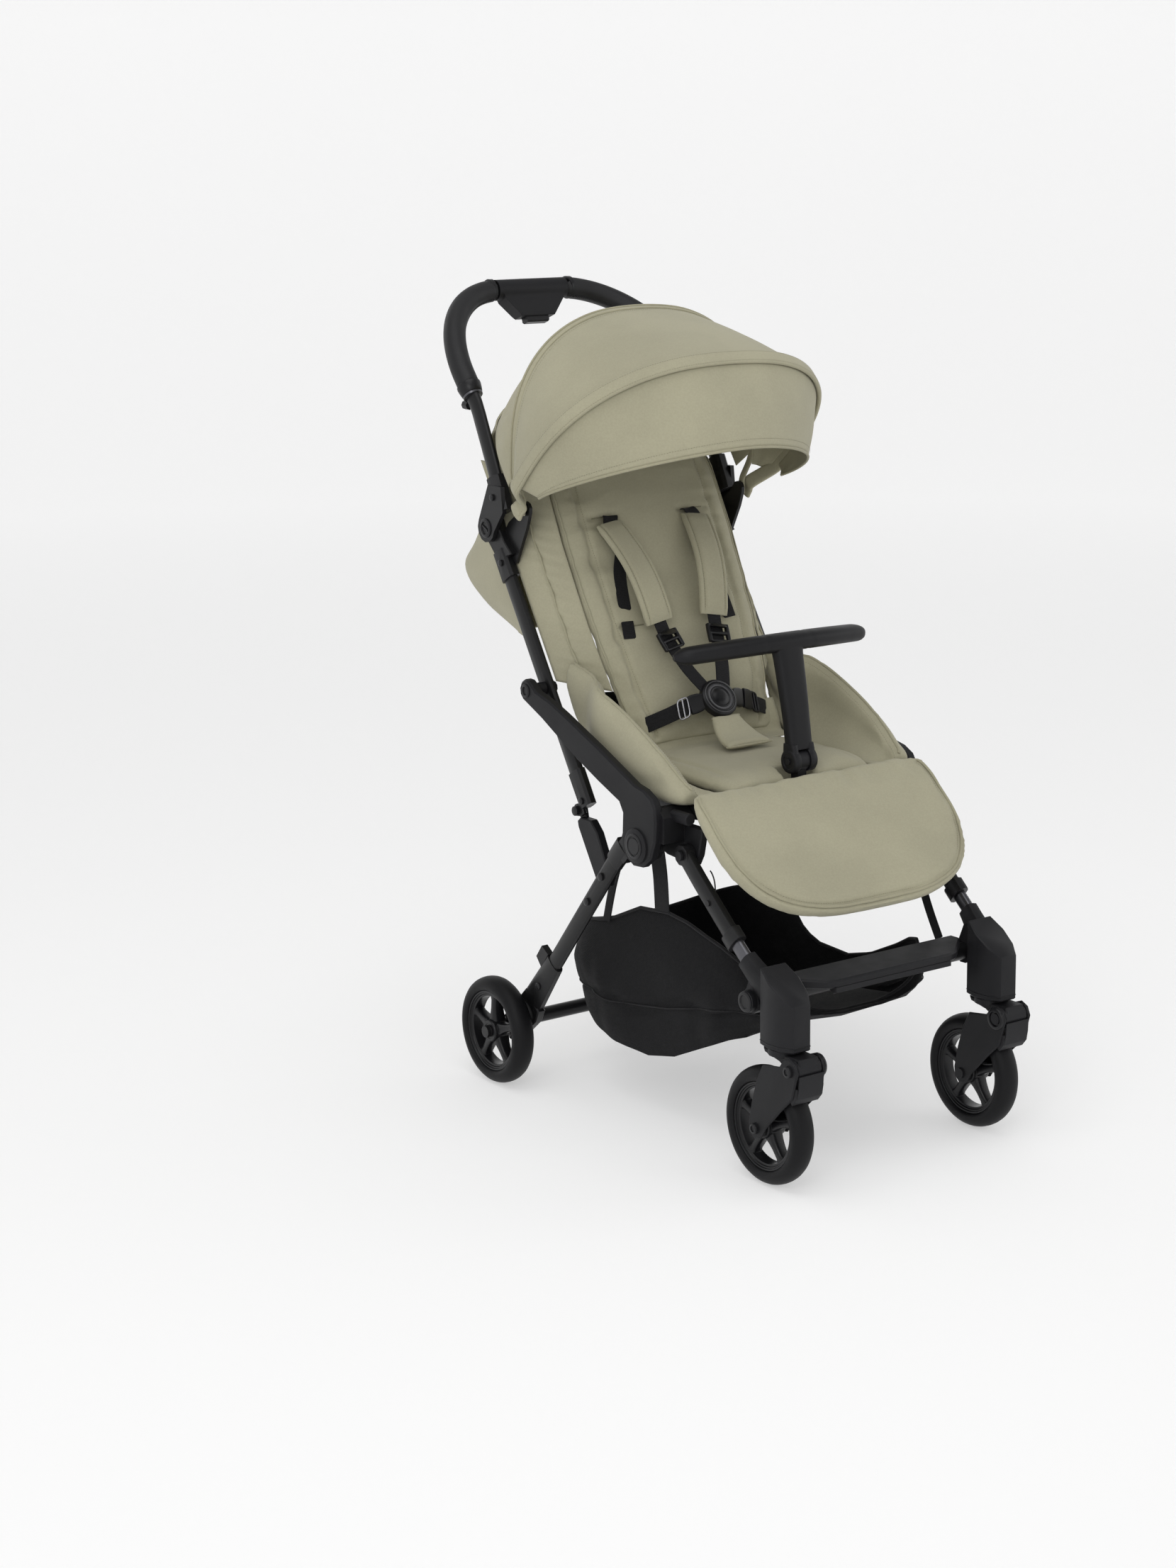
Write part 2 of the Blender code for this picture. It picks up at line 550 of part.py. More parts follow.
LINK_SIDE = [
    (-0.0250, 0.3180),
    (-0.0200, 0.3050),
    (-0.0080, 0.3020),
    (0.0040, 0.3070),
    (0.0270, 0.3440),
    (0.0430, 0.3700),
    (0.0450, 0.3780),
    (0.0380, 0.3836),
    (0.0160, 0.3836),
    (0.0020, 0.3700),
]
link_base = plate(LINK_SIDE, -TUBE_X - 0.0060, -TUBE_X + 0.0060, 0.0014)
link_ear = plate([(0.0300, 0.3700), (0.0430, 0.3700), *arc(LINK_TOP, 0.0090, -70, 150, 8), (0.0340, 0.3820)], -TUBE_X + 0.0004, -TUBE_X + 0.0060, 0.0010)
link_pin = rod(at(LINK_TOP, -TUBE_X - 0.0085), at(LINK_TOP, -TUBE_X + 0.0040), 0.0036, 8)
link_head = rod(at(LINK_TOP, -TUBE_X - 0.0095), at(LINK_TOP, -TUBE_X - 0.0064), 0.0060, 10)
both("link", join(link_base, link_ear, link_pin, link_head), PLASTIC, at(LINK_TOP, -TUBE_X))

# Handle: bent push bar, knee ears, grips, centre housing and release button


BEND_Z = HANDLE_TOP_Z - 0.1425


def handle_y(z):
    """The push bar's line: straight up from the knee, then curling back."""
    rise = z - BEND_Z
    if rise < 0:
        return 0.2655 + rise * 0.466
    return 0.2655 + 0.6496 * rise + 2.587 * rise * rise


def handle_point(t):
    """The corner of the push bar, from t = 0 on the left side to t = 1 at the top."""
    a = t * math.pi / 2
    x = -HANDLE_X + 0.134 * (1 - math.cos(a) ** (2 / 2.06))
    z = HANDLE_TOP_Z - 0.105 * (1 - math.sin(a) ** (2 / 2.06))
    return (x, handle_y(z), z)


GRIP_FROM = 3
GRIP_TO = 12
side_heights = (KNEE[1] + 0.0230, 0.5 * (KNEE[1] + BEND_Z), BEND_Z + 0.0060, BEND_Z + 0.0290)
bend = (0.0, 0.14, 0.28, 0.42, 0.56, 0.70, 0.82, 0.917, 1.0)
half_path = [(-HANDLE_X, handle_y(z), z) for z in side_heights] + [handle_point(t) for t in bend]
full_path = half_path + [(-p[0], p[1], p[2]) for p in reversed(half_path)]


def handle_rings(a, b, count, exponent=2.0):
    """Rings along the push bar, kept square to its own bent plane so that its section doesn't twist."""
    rings = []
    for i, p in enumerate(full_path):
        along = Vector(full_path[min(i + 1, len(full_path) - 1)]) - Vector(full_path[max(i - 1, 0)])
        along.normalize()
        normal = Vector((0, 0.80, -0.60))
        normal = (normal - along * along.dot(normal)).normalized()
        across = along.cross(normal).normalized()
        rings.append(oval(p, across, normal, a[i], b[i], count, exponent))
    return rings


flat = [0.0060, 0.0060, 0.0064, 0.0100] + [BAR_R] * 9
deep = [0.0122, 0.0122, 0.0118, BAR_R] + [BAR_R] * 9
bar = loft(handle_rings(flat + flat[::-1], deep + deep[::-1], 8, 2.0))
ear_outline = [(0.1960, 0.7570), (0.2000, 0.7900), (0.2300, 0.7900), (0.2460, 0.7560), *arc(KNEE, 0.0190, 30, -170, 8)]
knee_parts = []
for side in (-1, 1):
    x0, x1 = sorted((side * (TUBE_X + 0.0064), side * (TUBE_X + 0.0124)))
    knee_parts.append(plate(ear_outline, x0, x1, 0))
    knee_parts.append(rod(at(KNEE, side * (TUBE_X - 0.0085)), at(KNEE, side * (TUBE_X + 0.0100)), 0.0050, 10))
    shell = [(side * HANDLE_X, handle_y(z), z) for z in (0.7565, 0.7700, 0.8000)]
    knee_parts.append(sweep(shell, 0.0100, [0.0145, 0.0150, 0.0138], 10, 3.0))
    spot = (0.2190, 0.7745)
    knee_parts.append(rod(at(spot, side * (TUBE_X + 0.0105)), at(spot, side * (TUBE_X + 0.0140)), 0.0042, 8))
    base = Vector((side * HANDLE_X, handle_y(BEND_Z + 0.004), BEND_Z + 0.004))
    knee_parts.append(rod(base, base + Vector((0, 0.0200, 0.0)), 0.0035, 6))
    knee_parts.append(rod(base + Vector((0, 0.0170, 0)), base + Vector((0, 0.0280, 0)), 0.0062, 8))
add("handle_tube", join(bar, *knee_parts), TUBE, at(KNEE))

radii = [GRIP_R] * len(full_path)
bores = [0.0119] * len(full_path)
outer_rings = handle_rings(radii, radii, 10)[GRIP_FROM:GRIP_TO]
inner_rings = handle_rings(bores, bores, 10)[GRIP_FROM:GRIP_TO]
grip = loft(inner_rings + outer_rings[::-1], closed=True)
both("grip", grip, FOAM, at(KNEE))

centre_y = handle_y(HANDLE_TOP_Z)
top = (centre_y, HANDLE_TOP_Z)
down = Vector((0, -0.35, -0.94)).normalized()
back_way = Vector((0, 0.94, -0.35)).normalized()


def housing_ring(distance, half, thick):
    middle = Vector((0, centre_y, HANDLE_TOP_Z)) + down * distance
    return [middle + X * sx * half + back_way * sy * thick for sx, sy in ((-1, -1), (1, -1), (1, 1), (-1, 1))]


centre_bar = rod(at(top, -0.0560), at(top, 0.0560), 0.0142, 16)
trapezoid = loft([housing_ring(0.004, 0.0500, 0.0115), housing_ring(0.016, 0.0470, 0.0110), housing_ring(0.036, 0.0300, 0.0105), housing_ring(0.040, 0.0270, 0.0090)])
bar_hole = rod(at(top, -0.08), at(top, 0.08), 0.0126, 16)
pocket = loft([housing_ring(0.020, 0.0185, 0.0068), housing_ring(0.060, 0.0185, 0.0068)])
add("handle_centre", cut(join(centre_bar, trapezoid), bar_hole, pocket), PLASTIC, at(KNEE))
button = loft([housing_ring(0.030, 0.0181, 0.0064), housing_ring(0.046, 0.0181, 0.0064), housing_ring(0.0480, 0.0168, 0.0050)])
add("release_button", button, PLASTIC, (0.0, centre_y, HANDLE_TOP_Z))


# Canopy: bows and panels on one pivot line


def bow(half, rise, exponent, tilt, lift, t, scale=1.0):
    """A point of a bow at t from 0 (left end) to 1 (right end)."""
    first = math.asin(lift / rise)
    a = -first + t * (math.pi + 2 * first)
    height = lift + rise * power(math.sin(a), 2 / exponent)
    x = -half * power(math.cos(a), 2 / exponent)
    height = max(height, 0.0) * scale
    angle = math.radians(tilt)
    return Vector((x * scale if scale != 1.0 else x, CANOPY[0] - height * math.sin(angle), CANOPY[1] + height * math.cos(angle)))


REAR_BOW = (0.1860, 0.130, 2.6, -36.0, 0.050)
MID_BOW = (0.1930, 0.175, 2.406, 2.7, 0.076)
FRONT_BOW = (0.2150, 0.191, 2.405, 45.7, 0.093)
VISOR_EDGE = (0.1980, 0.180, 1.70, 70.2, 0.084)


def stations(first, last, count):
    """Places along a bow, closer together where it turns."""
    found = []
    for i in range(count):
        s = i / (count - 1)
        found.append(first + (last - first) * (s - 0.06 * math.sin(2 * math.pi * s)))
    return found


def bow_bar(shape, width, thick, hinge_in, hinge_out):
    """A bent flat bar between two hinge discs that turn on the canopy's pivot line."""
    hinge_x = (hinge_in + hinge_out) / 2
    angle = math.radians(shape[3])
    along_tilt = Vector((0, math.cos(angle), math.sin(angle)))
    rise = Vector((0, -math.sin(angle), math.cos(angle))) * 0.0150
    foot = Vector((hinge_x, *CANOPY))
    path = [bow(*shape, t) for t in stations(0.08, 0.92, 17)]
    path = [foot - 2 * X * hinge_x, foot - 2 * X * hinge_x + rise, *path, foot + rise, foot]
    rings = []
    for i, p in enumerate(path):
        way = (path[min(i + 1, len(path) - 1)] - path[max(i - 1, 0)]).normalized()
        out = way.cross(along_tilt).normalized()
        rings.append(oval(p, along_tilt, out, width, thick, 8, 2.4))
    discs = [rod(at(CANOPY, side * hinge_in), at(CANOPY, side * hinge_out), 0.0095, 12) for side in (-1, 1)]
    return join(loft(rings), *discs)


add("mid_bow", bow_bar(MID_BOW, 0.0050, 0.0024, 0.1756, 0.1822), FABRIC, at(CANOPY))
add("front_bow", bow_bar(FRONT_BOW, 0.0078, 0.0032, 0.1827, 0.1896), FABRIC, at(CANOPY))


def panel(first_bow, last_bow, start, end, thick, across, count, puff, first_t):
    """Cloth between two bows as a thin closed sheet, start and end metres short of their centre lines."""
    rings = []
    middle = Vector((0, CANOPY[0], CANOPY[1]))
    for t in stations(first_t, 1 - first_t, count):
        a = bow(*first_bow, t)
        b = bow(*last_bow, t)
        length = (b - a).length
        low, high = start / length, 1 - end / length
        outer = []
        for i in range(across):
            s = low + (high - low) * i / (across - 1)
            p = a.lerp(b, s)
            out = p - middle
            out.x *= 0.8
            out.normalize()
            lift = puff * math.sin(math.pi * i / (across - 1)) * min(1.0, length / 0.12)
            outer.append((p + out * lift, out))
        rings.append([p for p, out in outer] + [p - out * thick for p, out in reversed(outer)])
    return loft(rings)


add("canopy_rear_panel", panel(REAR_BOW, MID_BOW, 0.0, 0.0072, 0.0020, 3, 21, 0.003, 0.11), FABRIC, at(CANOPY))
add("canopy_front_panel", panel(MID_BOW, FRONT_BOW, 0.0064, 0.0092, 0.0020, 4, 21, 0.004, 0.10), FABRIC, at(CANOPY))
add("visor", panel(FRONT_BOW, VISOR_EDGE, 0.0084, 0.0, 0.0020, 3, 21, 0.003, 0.12), FABRIC, at(CANOPY))

# Seat, bolsters, back pad, side panels and leg rest


def pad(rows, count=20, exponent=3.2):
    """A soft pad lofted through rows of (centre, along-normal, half width, half thickness)."""
    rings = []
    for centre, normal, half, thick in rows:
        rings.append(oval(centre, X, Vector(normal).normalized(), half, thick, count, exponent, 0.5))
    return loft(rings)


seat_rows = []
for y, z, half, thick in (
    (0.0020, 0.4535, 0.098, 0.0080),
    (-0.0060, 0.4514, 0.108, 0.0130),
    (-0.0400, 0.4504, 0.1257, 0.0165),
    (-0.0900, 0.4503, 0.1257, 0.0165),
    (-0.1350, 0.4504, 0.1264, 0.0165),
    (-0.1700, 0.4476, 0.118, 0.0135),
    (-0.1850, 0.4456, 0.112, 0.0075),
):
    seat_rows.append(((0, y, z), (0, 0, 1), half, thick))
slot = plate([(-0.1560, 0.42), (-0.1560, 0.49), (-0.21, 0.49), (-0.21, 0.42)], -0.0215, 0.0215, 0)
add("seat_pad", cut(pad(seat_rows, 18, 3.6), slot), FABRIC, at(HUB))

bolster_rings = []
for y, crest, x_out, x_in, base in (
    (-0.1800, 0.4540, 0.1780, 0.1290, 0.4400),
    (-0.1660, 0.4660, 0.1840, 0.1260, 0.4352),
    (-0.1200, 0.4990, 0.1885, 0.1260, 0.4352),
    (-0.0600, 0.5300, 0.1890, 0.1250, 0.4352),
    (0.0000, 0.5520, 0.1880, 0.1250, 0.4430),
    (0.0420, 0.5640, 0.1695, 0.1320, 0.4650),
    (0.0700, 0.5710, 0.1690, 0.1400, 0.5000),
    (0.0930, 0.5750, 0.1680, 0.1440, 0.5400),
):
    width = x_out - x_in
    ring = [
        (-x_out + 0.0070, y, base),
        (-x_out + 0.0010, y, base + 0.006),
        (-x_out, y, base + (crest - base) * 0.45),
        (-x_out + 0.0030, y, base + (crest - base) * 0.82),
        (-x_out + 0.0090, y, crest),
        (-x_out + 0.0160, y, crest - 0.001),
        (-x_out + 0.0225, y, base + (crest - base) * 0.80),
        (-x_out + 0.0270, y, base + (crest - base) * 0.50),
        (-x_in - width * 0.30, y, base + (crest - base) * 0.22 + 0.004),
        (-x_in, y, base + 0.012),
        (-x_in - 0.0010, y, base + 0.002),
        (-x_in - width * 0.45, y, base - 0.001),
    ]
    bolster_rings.append([Vector(p) for p in ring])
both("bolster", loft(bolster_rings), FABRIC, at(HUB))

BACK_SLOPE = math.atan(0.51)
back_up = Vector((0, math.sin(BACK_SLOPE), math.cos(BACK_SLOPE)))
back_front = Vector((0, -math.cos(BACK_SLOPE), math.sin(BACK_SLOPE)))


def back_point(distance, depth=0.0, x=0.0):
    """A point on the back pad's front surface, distance up it, or behind it by depth."""
    base = Vector((x, 0.0060, 0.4800))
    return base + back_up * distance - back_front * depth


back_rings = []
for distance, half, thick in (
    (-0.0110, 0.100, 0.012),
    (-0.002, 0.112, 0.020),
    (0.060, 0.126, 0.026),
    (0.160, 0.136, 0.028),
    (0.270, 0.140, 0.028),
    (0.360, 0.138, 0.026),
    (0.410, 0.128, 0.022),
    (0.428, 0.108, 0.016),
    (0.434, 0.092, 0.009),
):
    ring = []
    marks = (-1.0, -0.90, -0.80, -0.755, -0.70, -0.35, 0.35, 0.70, 0.755, 0.80, 0.90, 1.0)
    for m in marks:
        groove = 0.0045 if abs(abs(m) - 0.755) < 0.001 else 0.0
        edge = 0.25 * thick if abs(m) == 1.0 else 0.0
        ring.append(back_point(distance, groove + edge, m * half))
    for m in (1.0, 0.94, 0.35, -0.35, -0.94, -1.0):
        edge = 0.25 * thick if abs(m) == 1.0 else 0.0
        ring.append(back_point(distance, thick - edge, m * half))
    back_rings.append(ring)
add("back_pad", loft(back_rings), FABRIC, at(SEAT_PIVOT))

side_outline = [(0.0680, 0.5820), (0.1270, 0.5820), (0.1796, 0.6660), (0.1700, 0.6900), (0.1560, 0.7300)]
both("side_panel", plate(side_outline, -0.1780, -0.1756, 0), FABRIC, at(ARM_PIN))

rest_down = Vector((0, -math.cos(REST_SLOPE), -math.sin(REST_SLOPE)))
rest_up = Vector((0, -math.sin(REST_SLOPE), math.cos(REST_SLOPE)))
rest_rows = []
for distance, half, thick in (
    (0.0022, 0.176, 0.0045),
    (0.0120, 0.187, 0.0065),
    (0.0420, 0.1910, 0.0120),
    (0.095, 0.1910, 0.0130),
    (0.130, 0.1830, 0.0130),
    (0.160, 0.1650, 0.0128),
    (0.182, 0.1400, 0.0122),
    (0.196, 0.1050, 0.0110),
    (0.2040, 0.0700, 0.0070),
):
    middle = Vector((0, *REST_PIVOT)) + rest_down * distance
    rest_rows.append((middle, rest_up, half, thick))
add("leg_rest", pad(rest_rows, 20, 3.4), FABRIC, at(REST_PIVOT))

# Bumper bar on its hinge mount

mount = rod(at(BUMPER_PIVOT, -0.0070), at(BUMPER_PIVOT, 0.0070), 0.0130, 16)
foot = plate([(-0.1817, 0.4160), (-0.1817, 0.4640), (-0.1680, 0.4640), (-0.1680, 0.4160)], -0.0068, 0.0068, 0)
mount_pin = rod(at(BUMPER_PIVOT, -0.0190), at(BUMPER_PIVOT, 0.0190), 0.0040, 8)
add("bumper_mount", join(mount, mount_pin, foot), PLASTIC, at(BUMPER_PIVOT))

bar_mid = (-0.146, 0.6160)
bar_path = []
for i in range(13):
    s = -1 + 2 * i / 12
    bar_path.append((0.1500 * s, bar_mid[0] + 0.030 * abs(s) ** 2.0, bar_mid[1] - 0.008 * abs(s) ** 2))
swell = [0.62, 0.88, 0.96, 0.99, 1.01, 1.03, 1.04, 1.03, 1.01, 0.99, 0.96, 0.88, 0.62]
bumper_bar = sweep(bar_path, [0.0155 * s for s in swell], [0.0112 * s for s in swell], 12, 2.4, Vector((0, 1, 0)))
post_path = [(0, -0.1745, 0.4830), (0, -0.1730, 0.5000), (0, -0.1640, 0.5500), (0, -0.1500, 0.6120)]
post = sweep(post_path, [0.0170, 0.0175, 0.0180, 0.0205], [0.0095, 0.0100, 0.0095, 0.0100], 12, 3.6)
cheeks = []
for side in (-1, 1):
    x0, x1 = sorted((side * 0.0076, side * 0.0180))
    cheeks.append(plate(arc(BUMPER_PIVOT, 0.0150, -200, 20, 10) + [(-0.1640, 0.4920), (-0.1840, 0.4920)], x0, x1, 0))
bumper = join(bumper_bar, post, *cheeks)
clear = rod(at(BUMPER_PIVOT, -0.0076), at(BUMPER_PIVOT, 0.0076), 0.0140, 16)
hole = rod(at(BUMPER_PIVOT, -0.05), at(BUMPER_PIVOT, 0.05), 0.0045, 8)
add("bumper_bar", cut(bumper, clear, hole), PLASTIC, at(BUMPER_PIVOT))

# Harness

buckle_at = Vector((0, -0.0120, 0.5230))
buckle_up = Vector((0, -0.80, 0.60)).normalized()
buckle_side = Vector((0, 0.60, 0.80)).normalized()


def dish(profile, count=24):
    rings = []
    for height, radius in profile:
        rings.append(oval(buckle_at + buckle_up * height, X, buckle_side, radius, radius * 0.96, count))
    return rings


body = loft(dish([(-0.0080, 0.0220), (-0.0060, 0.0260), (0.0030, 0.0260), (0.0055, 0.0230)], 18))
well = loft(dish([(-0.0030, 0.0165), (0.0100, 0.0165)], 16))
add("buckle", cut(body, well), PLASTIC, tuple(buckle_at))
press = loft(dish([(0.0016, 0.0160), (0.0058, 0.0160), (0.0072, 0.0140)], 16))
add("buckle_button", press, PLASTIC, tuple(buckle_at))


def strap(path, half, thick, across, count=6):
    rings = []
    for (p, u, v), w in zip(frames(path, across), half if isinstance(half, list) else [half] * len(path)):
        rings.append(oval(p, u, v, w, thick, count, 3.0, 0.5 if count == 4 else 0.0))
    return loft(rings)


pad_path = []
for s in (0.0, 0.06, 0.30, 0.62, 0.92, 1.0):
    start = back_point(0.2880, -0.0064, -0.0700)
    end = Vector((-0.0440, 0.0560, 0.6180))
    p = start.lerp(end, s) + back_front * 0.012 * math.sin(math.pi * s)
    pad_path.append(tuple(p))
cushion = strap(pad_path, [0.0170, 0.0215, 0.0225, 0.0225, 0.0215, 0.0160], 0.0056, X, 12)
both("shoulder_pad", cushion, FABRIC, at(SEAT_PIVOT, 0.0))
tip = Vector(pad_path[-1]) + (Vector(pad_path[-1]) - Vector(pad_path[-2])).normalized() * 0.0008
strap_path = [tuple(tip), (-0.0400, 0.0440, 0.5980), (-0.0300, 0.0210, 0.5660), (-0.0155, 0.0005, 0.5400)]
webbing = strap(strap_path, 0.0125, 0.0012, X, 8)
adjuster = strap([(-0.0410, 0.0475, 0.6045), (-0.0362, 0.0330, 0.5830)], 0.0165, 0.0036, X, 8)
both("shoulder_strap", join(webbing, adjuster), WEBBING, at(SEAT_PIVOT, 0.0))
waist_path = [(-0.0290, -0.0080, 0.5210), (-0.0450, -0.0030, 0.5160), (-0.0700, 0.0040, 0.5060), (-0.0900, 0.0120, 0.4980)]
belt = strap(waist_path, 0.0120, 0.0012, Vector((0, 0.3, 0.95)), 8)
tongue_plate = strap([(-0.0271, -0.0090, 0.5214), (-0.0480, -0.0020, 0.5150)], [0.0140, 0.0150], 0.0040, Vector((0, 0.3, 0.95)), 8)
both("waist_strap", join(belt, tongue_plate), WEBBING, at(HUB))
cover_rings = []
for y, z, half, thick, lean in (
    (-0.0257, 0.5020, 0.0200, 0.0044, 0.60),
    (-0.0410, 0.4880, 0.0280, 0.0062, 0.70),
    (-0.0600, 0.4772, 0.0330, 0.0075, 0.92),
    (-0.0780, 0.4732, 0.0330, 0.0056, 1.0),
):
    cover_rings.append(oval(Vector((0, y, z)), X, Vector((0, -math.sqrt(1 - lean * lean), lean)), half, thick, 12, 2.8, 0.5))
add("crotch_cover", loft(cover_rings), FABRIC, at(HUB))

# Basket: an open tub of dark cloth slung between the legs


RIM_Y = (-0.300, -0.200, -0.100, -0.040, 0.000, 0.030, 0.060, 0.120, 0.160)
RIM_Z = (0.1980, 0.1880, 0.1880, 0.2000, 0.2350, 0.2500, 0.2350, 0.2220, 0.2150)


def basket_ring(level, grow, wall):
    """level 0 is the bottom edge and 1 the rim; wall moves the ring inwards."""
    ring = []
    for i in range(20):
        t = 2 * math.pi * (i + 0.5) / 20
        c, s = math.cos(t), math.sin(t)
        half_x = 0.1380 + 0.0120 * grow - wall
        half_y = 0.2070 + 0.0200 * grow - wall
        x = half_x * power(c, 2 / 5.0)
        y = -0.0700 + half_y * power(s, 2 / 4.0)
        low = 0.0780 + 0.100 * max(0.0, (-0.07 - y) / 0.22) + 0.015 * max(0.0, (y - 0.03) / 0.12)
        high = float(np.interp(y, RIM_Y, RIM_Z))
        ring.append(Vector((x, y, low + (high - low) * level + (wall if level == 0 else 0.0))))
    return ring


basket_rings = [
    basket_ring(0.0, -2.2, 0.003),
    basket_ring(0.0, -0.2, 0.003),
    basket_ring(0.14, 0.30, 0.003),
    basket_ring(0.60, 0.85, 0.003),
    basket_ring(1.0, 0.75, 0.003),
    basket_ring(1.0, 0.75, 0.0),
    basket_ring(0.60, 0.85, 0.0),
    basket_ring(0.14, 0.30, 0.0),
    basket_ring(0.0, -0.2, 0.0),
    basket_ring(0.0, -2.2, 0.0),
]
slings = []
for side in (-1, 1):
    slings.append(strap([(side * 0.1455, -0.1100, 0.1750), (side * 0.1500, -0.1050, 0.2600), (side * 0.1540, -0.1150, 0.3050), (side * 0.1660, -0.1740, 0.3565)], [0.050, 0.050, 0.045, 0.010], 0.0012, Vector((0, 1, 0)), 6))
    slings.append(strap([(side * 0.1450, 0.0360, 0.2300), (side * 0.1420, 0.0240, 0.3000), (side * 0.1400, -0.0080, 0.4128)], 0.0075, 0.0012, Vector((0, 1, 0.2)), 6))
add("basket", join(loft(basket_rings), *slings), DARK_FABRIC, at(HUB))

# Rear flap: the cloth shell behind the back pad, between the tubes

FLAP = [(0.3040, 0.8300), (0.3180, 0.7600), (0.3600, 0.7000), (0.3920, 0.6600), (0.3450, 0.6200), (0.2600, 0.5900)]
flap_grid = []
middle = Vector((0, *CANOPY))
for i in range(17):
    t = 0.215 + 0.57 * i / 16
    edge = bow(*REAR_BOW, t)
    way = (edge - bow(*MID_BOW, t)).normalized()
    turn = min(1.0, max(0.0, (abs(t - 0.5) - 0.17) / 0.115))
    turn = turn * turn * (3 - 2 * turn)
    row_points = [edge + way * 0.0022]
    for row, (y, z) in enumerate(FLAP):
        tube_line = tube_y(z) + 0.012 if z < 0.74 else 0.248 + 0.20 * (z - 0.74)
        x = max(-0.1680, min(0.1680, edge.x * (0.97 if row == 0 else 0.945 + 0.05 * turn)))
        row_points.append(Vector((x, y + (tube_line - y) * turn, min(z, edge.z - 0.012 - 0.03 * (0.83 - z)))))
    flap_grid.append(row_points)


def thin_sheet(grid, thick):
    """A closed sheet: the grid of points and the same grid moved inwards along its own normals."""
    last, end = len(grid) - 1, len(grid[0]) - 1
    inner = []
    for i, column in enumerate(grid):
        moved = []
        for j, p in enumerate(column):
            across = grid[min(i + 1, last)][j] - grid[max(i - 1, 0)][j]
            down = column[min(j + 1, end)] - column[max(j - 1, 0)]
            moved.append(p + down.cross(across).normalized() * thick)
        inner.append(moved)
    bm = bmesh.new()
    outer = [[bm.verts.new(p) for p in column] for column in grid]
    inner = [[bm.verts.new(p) for p in column] for column in inner]
    for i in range(last):
        for j in range(end):
            bm.faces.new((outer[i][j], outer[i][j + 1], outer[i + 1][j + 1], outer[i + 1][j]))
            bm.faces.new((inner[i][j], inner[i + 1][j], inner[i + 1][j + 1], inner[i][j + 1]))
        for j in (0, end):
            bm.faces.new((outer[i][j], outer[i + 1][j], inner[i + 1][j], inner[i][j]))
    for i in (0, last):
        for j in range(end):
            bm.faces.new((outer[i][j], outer[i][j + 1], inner[i][j + 1], inner[i][j]))
    bmesh.ops.recalc_face_normals(bm, faces=bm.faces)
    return mesh_of(bm)


add("rear_flap", thin_sheet(flap_grid, 0.0020), FABRIC, at(ARM_PIN))
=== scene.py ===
# %% [markdown]
# # A folding stroller, dressed
#
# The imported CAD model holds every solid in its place. This script loads it, keeps the hard parts,
# and builds the soft goods and the finer turned parts over it, all in metres, front towards -Y.

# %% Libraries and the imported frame
import math

import bmesh
import bpy
import numpy as np
from mathutils import Matrix, Vector, noise
from mathutils.bvhtree import BVHTree


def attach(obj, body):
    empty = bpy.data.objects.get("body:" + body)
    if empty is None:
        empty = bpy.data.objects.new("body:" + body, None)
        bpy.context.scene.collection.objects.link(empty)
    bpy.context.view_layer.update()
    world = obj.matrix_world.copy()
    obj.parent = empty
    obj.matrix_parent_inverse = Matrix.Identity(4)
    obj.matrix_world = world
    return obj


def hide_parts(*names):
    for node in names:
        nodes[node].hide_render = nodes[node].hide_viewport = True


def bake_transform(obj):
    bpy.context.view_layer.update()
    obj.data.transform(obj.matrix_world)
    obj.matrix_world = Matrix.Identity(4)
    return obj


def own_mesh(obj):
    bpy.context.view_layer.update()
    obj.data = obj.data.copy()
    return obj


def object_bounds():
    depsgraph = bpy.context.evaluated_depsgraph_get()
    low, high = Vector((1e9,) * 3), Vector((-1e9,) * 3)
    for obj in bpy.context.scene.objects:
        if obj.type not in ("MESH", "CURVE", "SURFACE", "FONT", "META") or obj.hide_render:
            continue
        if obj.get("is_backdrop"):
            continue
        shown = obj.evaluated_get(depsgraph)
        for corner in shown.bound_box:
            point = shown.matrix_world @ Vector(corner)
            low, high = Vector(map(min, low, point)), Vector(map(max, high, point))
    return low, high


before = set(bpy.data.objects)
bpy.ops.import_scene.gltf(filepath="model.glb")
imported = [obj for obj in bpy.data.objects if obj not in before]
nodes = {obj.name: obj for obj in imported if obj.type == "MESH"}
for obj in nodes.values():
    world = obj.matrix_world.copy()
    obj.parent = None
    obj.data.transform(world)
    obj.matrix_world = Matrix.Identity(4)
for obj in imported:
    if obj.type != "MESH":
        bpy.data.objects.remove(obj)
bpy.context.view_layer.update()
print(f"{len(nodes)} CAD solids loaded")

# %% [markdown]
# ## Dimensions
#
# Every piece is built about the same few points as the CAD solids: the pivots, the wheel axles and the
# ends of the tubes. They could be read back from the meshes, but named values say what each one is. A
# point on a side of the frame is (y, z), and every piece is moved by SHIFT_Y at the end, as the CAD was.

# %% Driving sizes
SHIFT_Y = -0.008
FRONT_R, REAR_R = 0.0728, 0.0715
FRONT_BORE, REAR_BORE = 0.0545, 0.0538
TYRE_HALF = 0.0156
FRONT_X, REAR_X = 0.1655, 0.2180
FRONT_AXLE, REAR_AXLE = (-0.325, FRONT_R), (0.186, REAR_R)
TUBE_X, LEG_X, ARM_OUT = 0.1780, 0.1925, 0.2125
HUB = (-0.122, 0.383)
ARM_PIN = (0.1155, 0.5388)
KNEE = (0.236, 0.733)
HANDLE_X, HANDLE_TOP_Z = 0.1800, 1.0265
GRIP_R = 0.0148
CANOPY = (0.167, 0.763)
REST_PIVOT, REST_SLOPE = (-0.187, 0.457), math.radians(44.0)
BUMPER_PIVOT = (-0.176, 0.4710)
X, Y, Z = Vector((1, 0, 0)), Vector((0, 1, 0)), Vector((0, 0, 1))
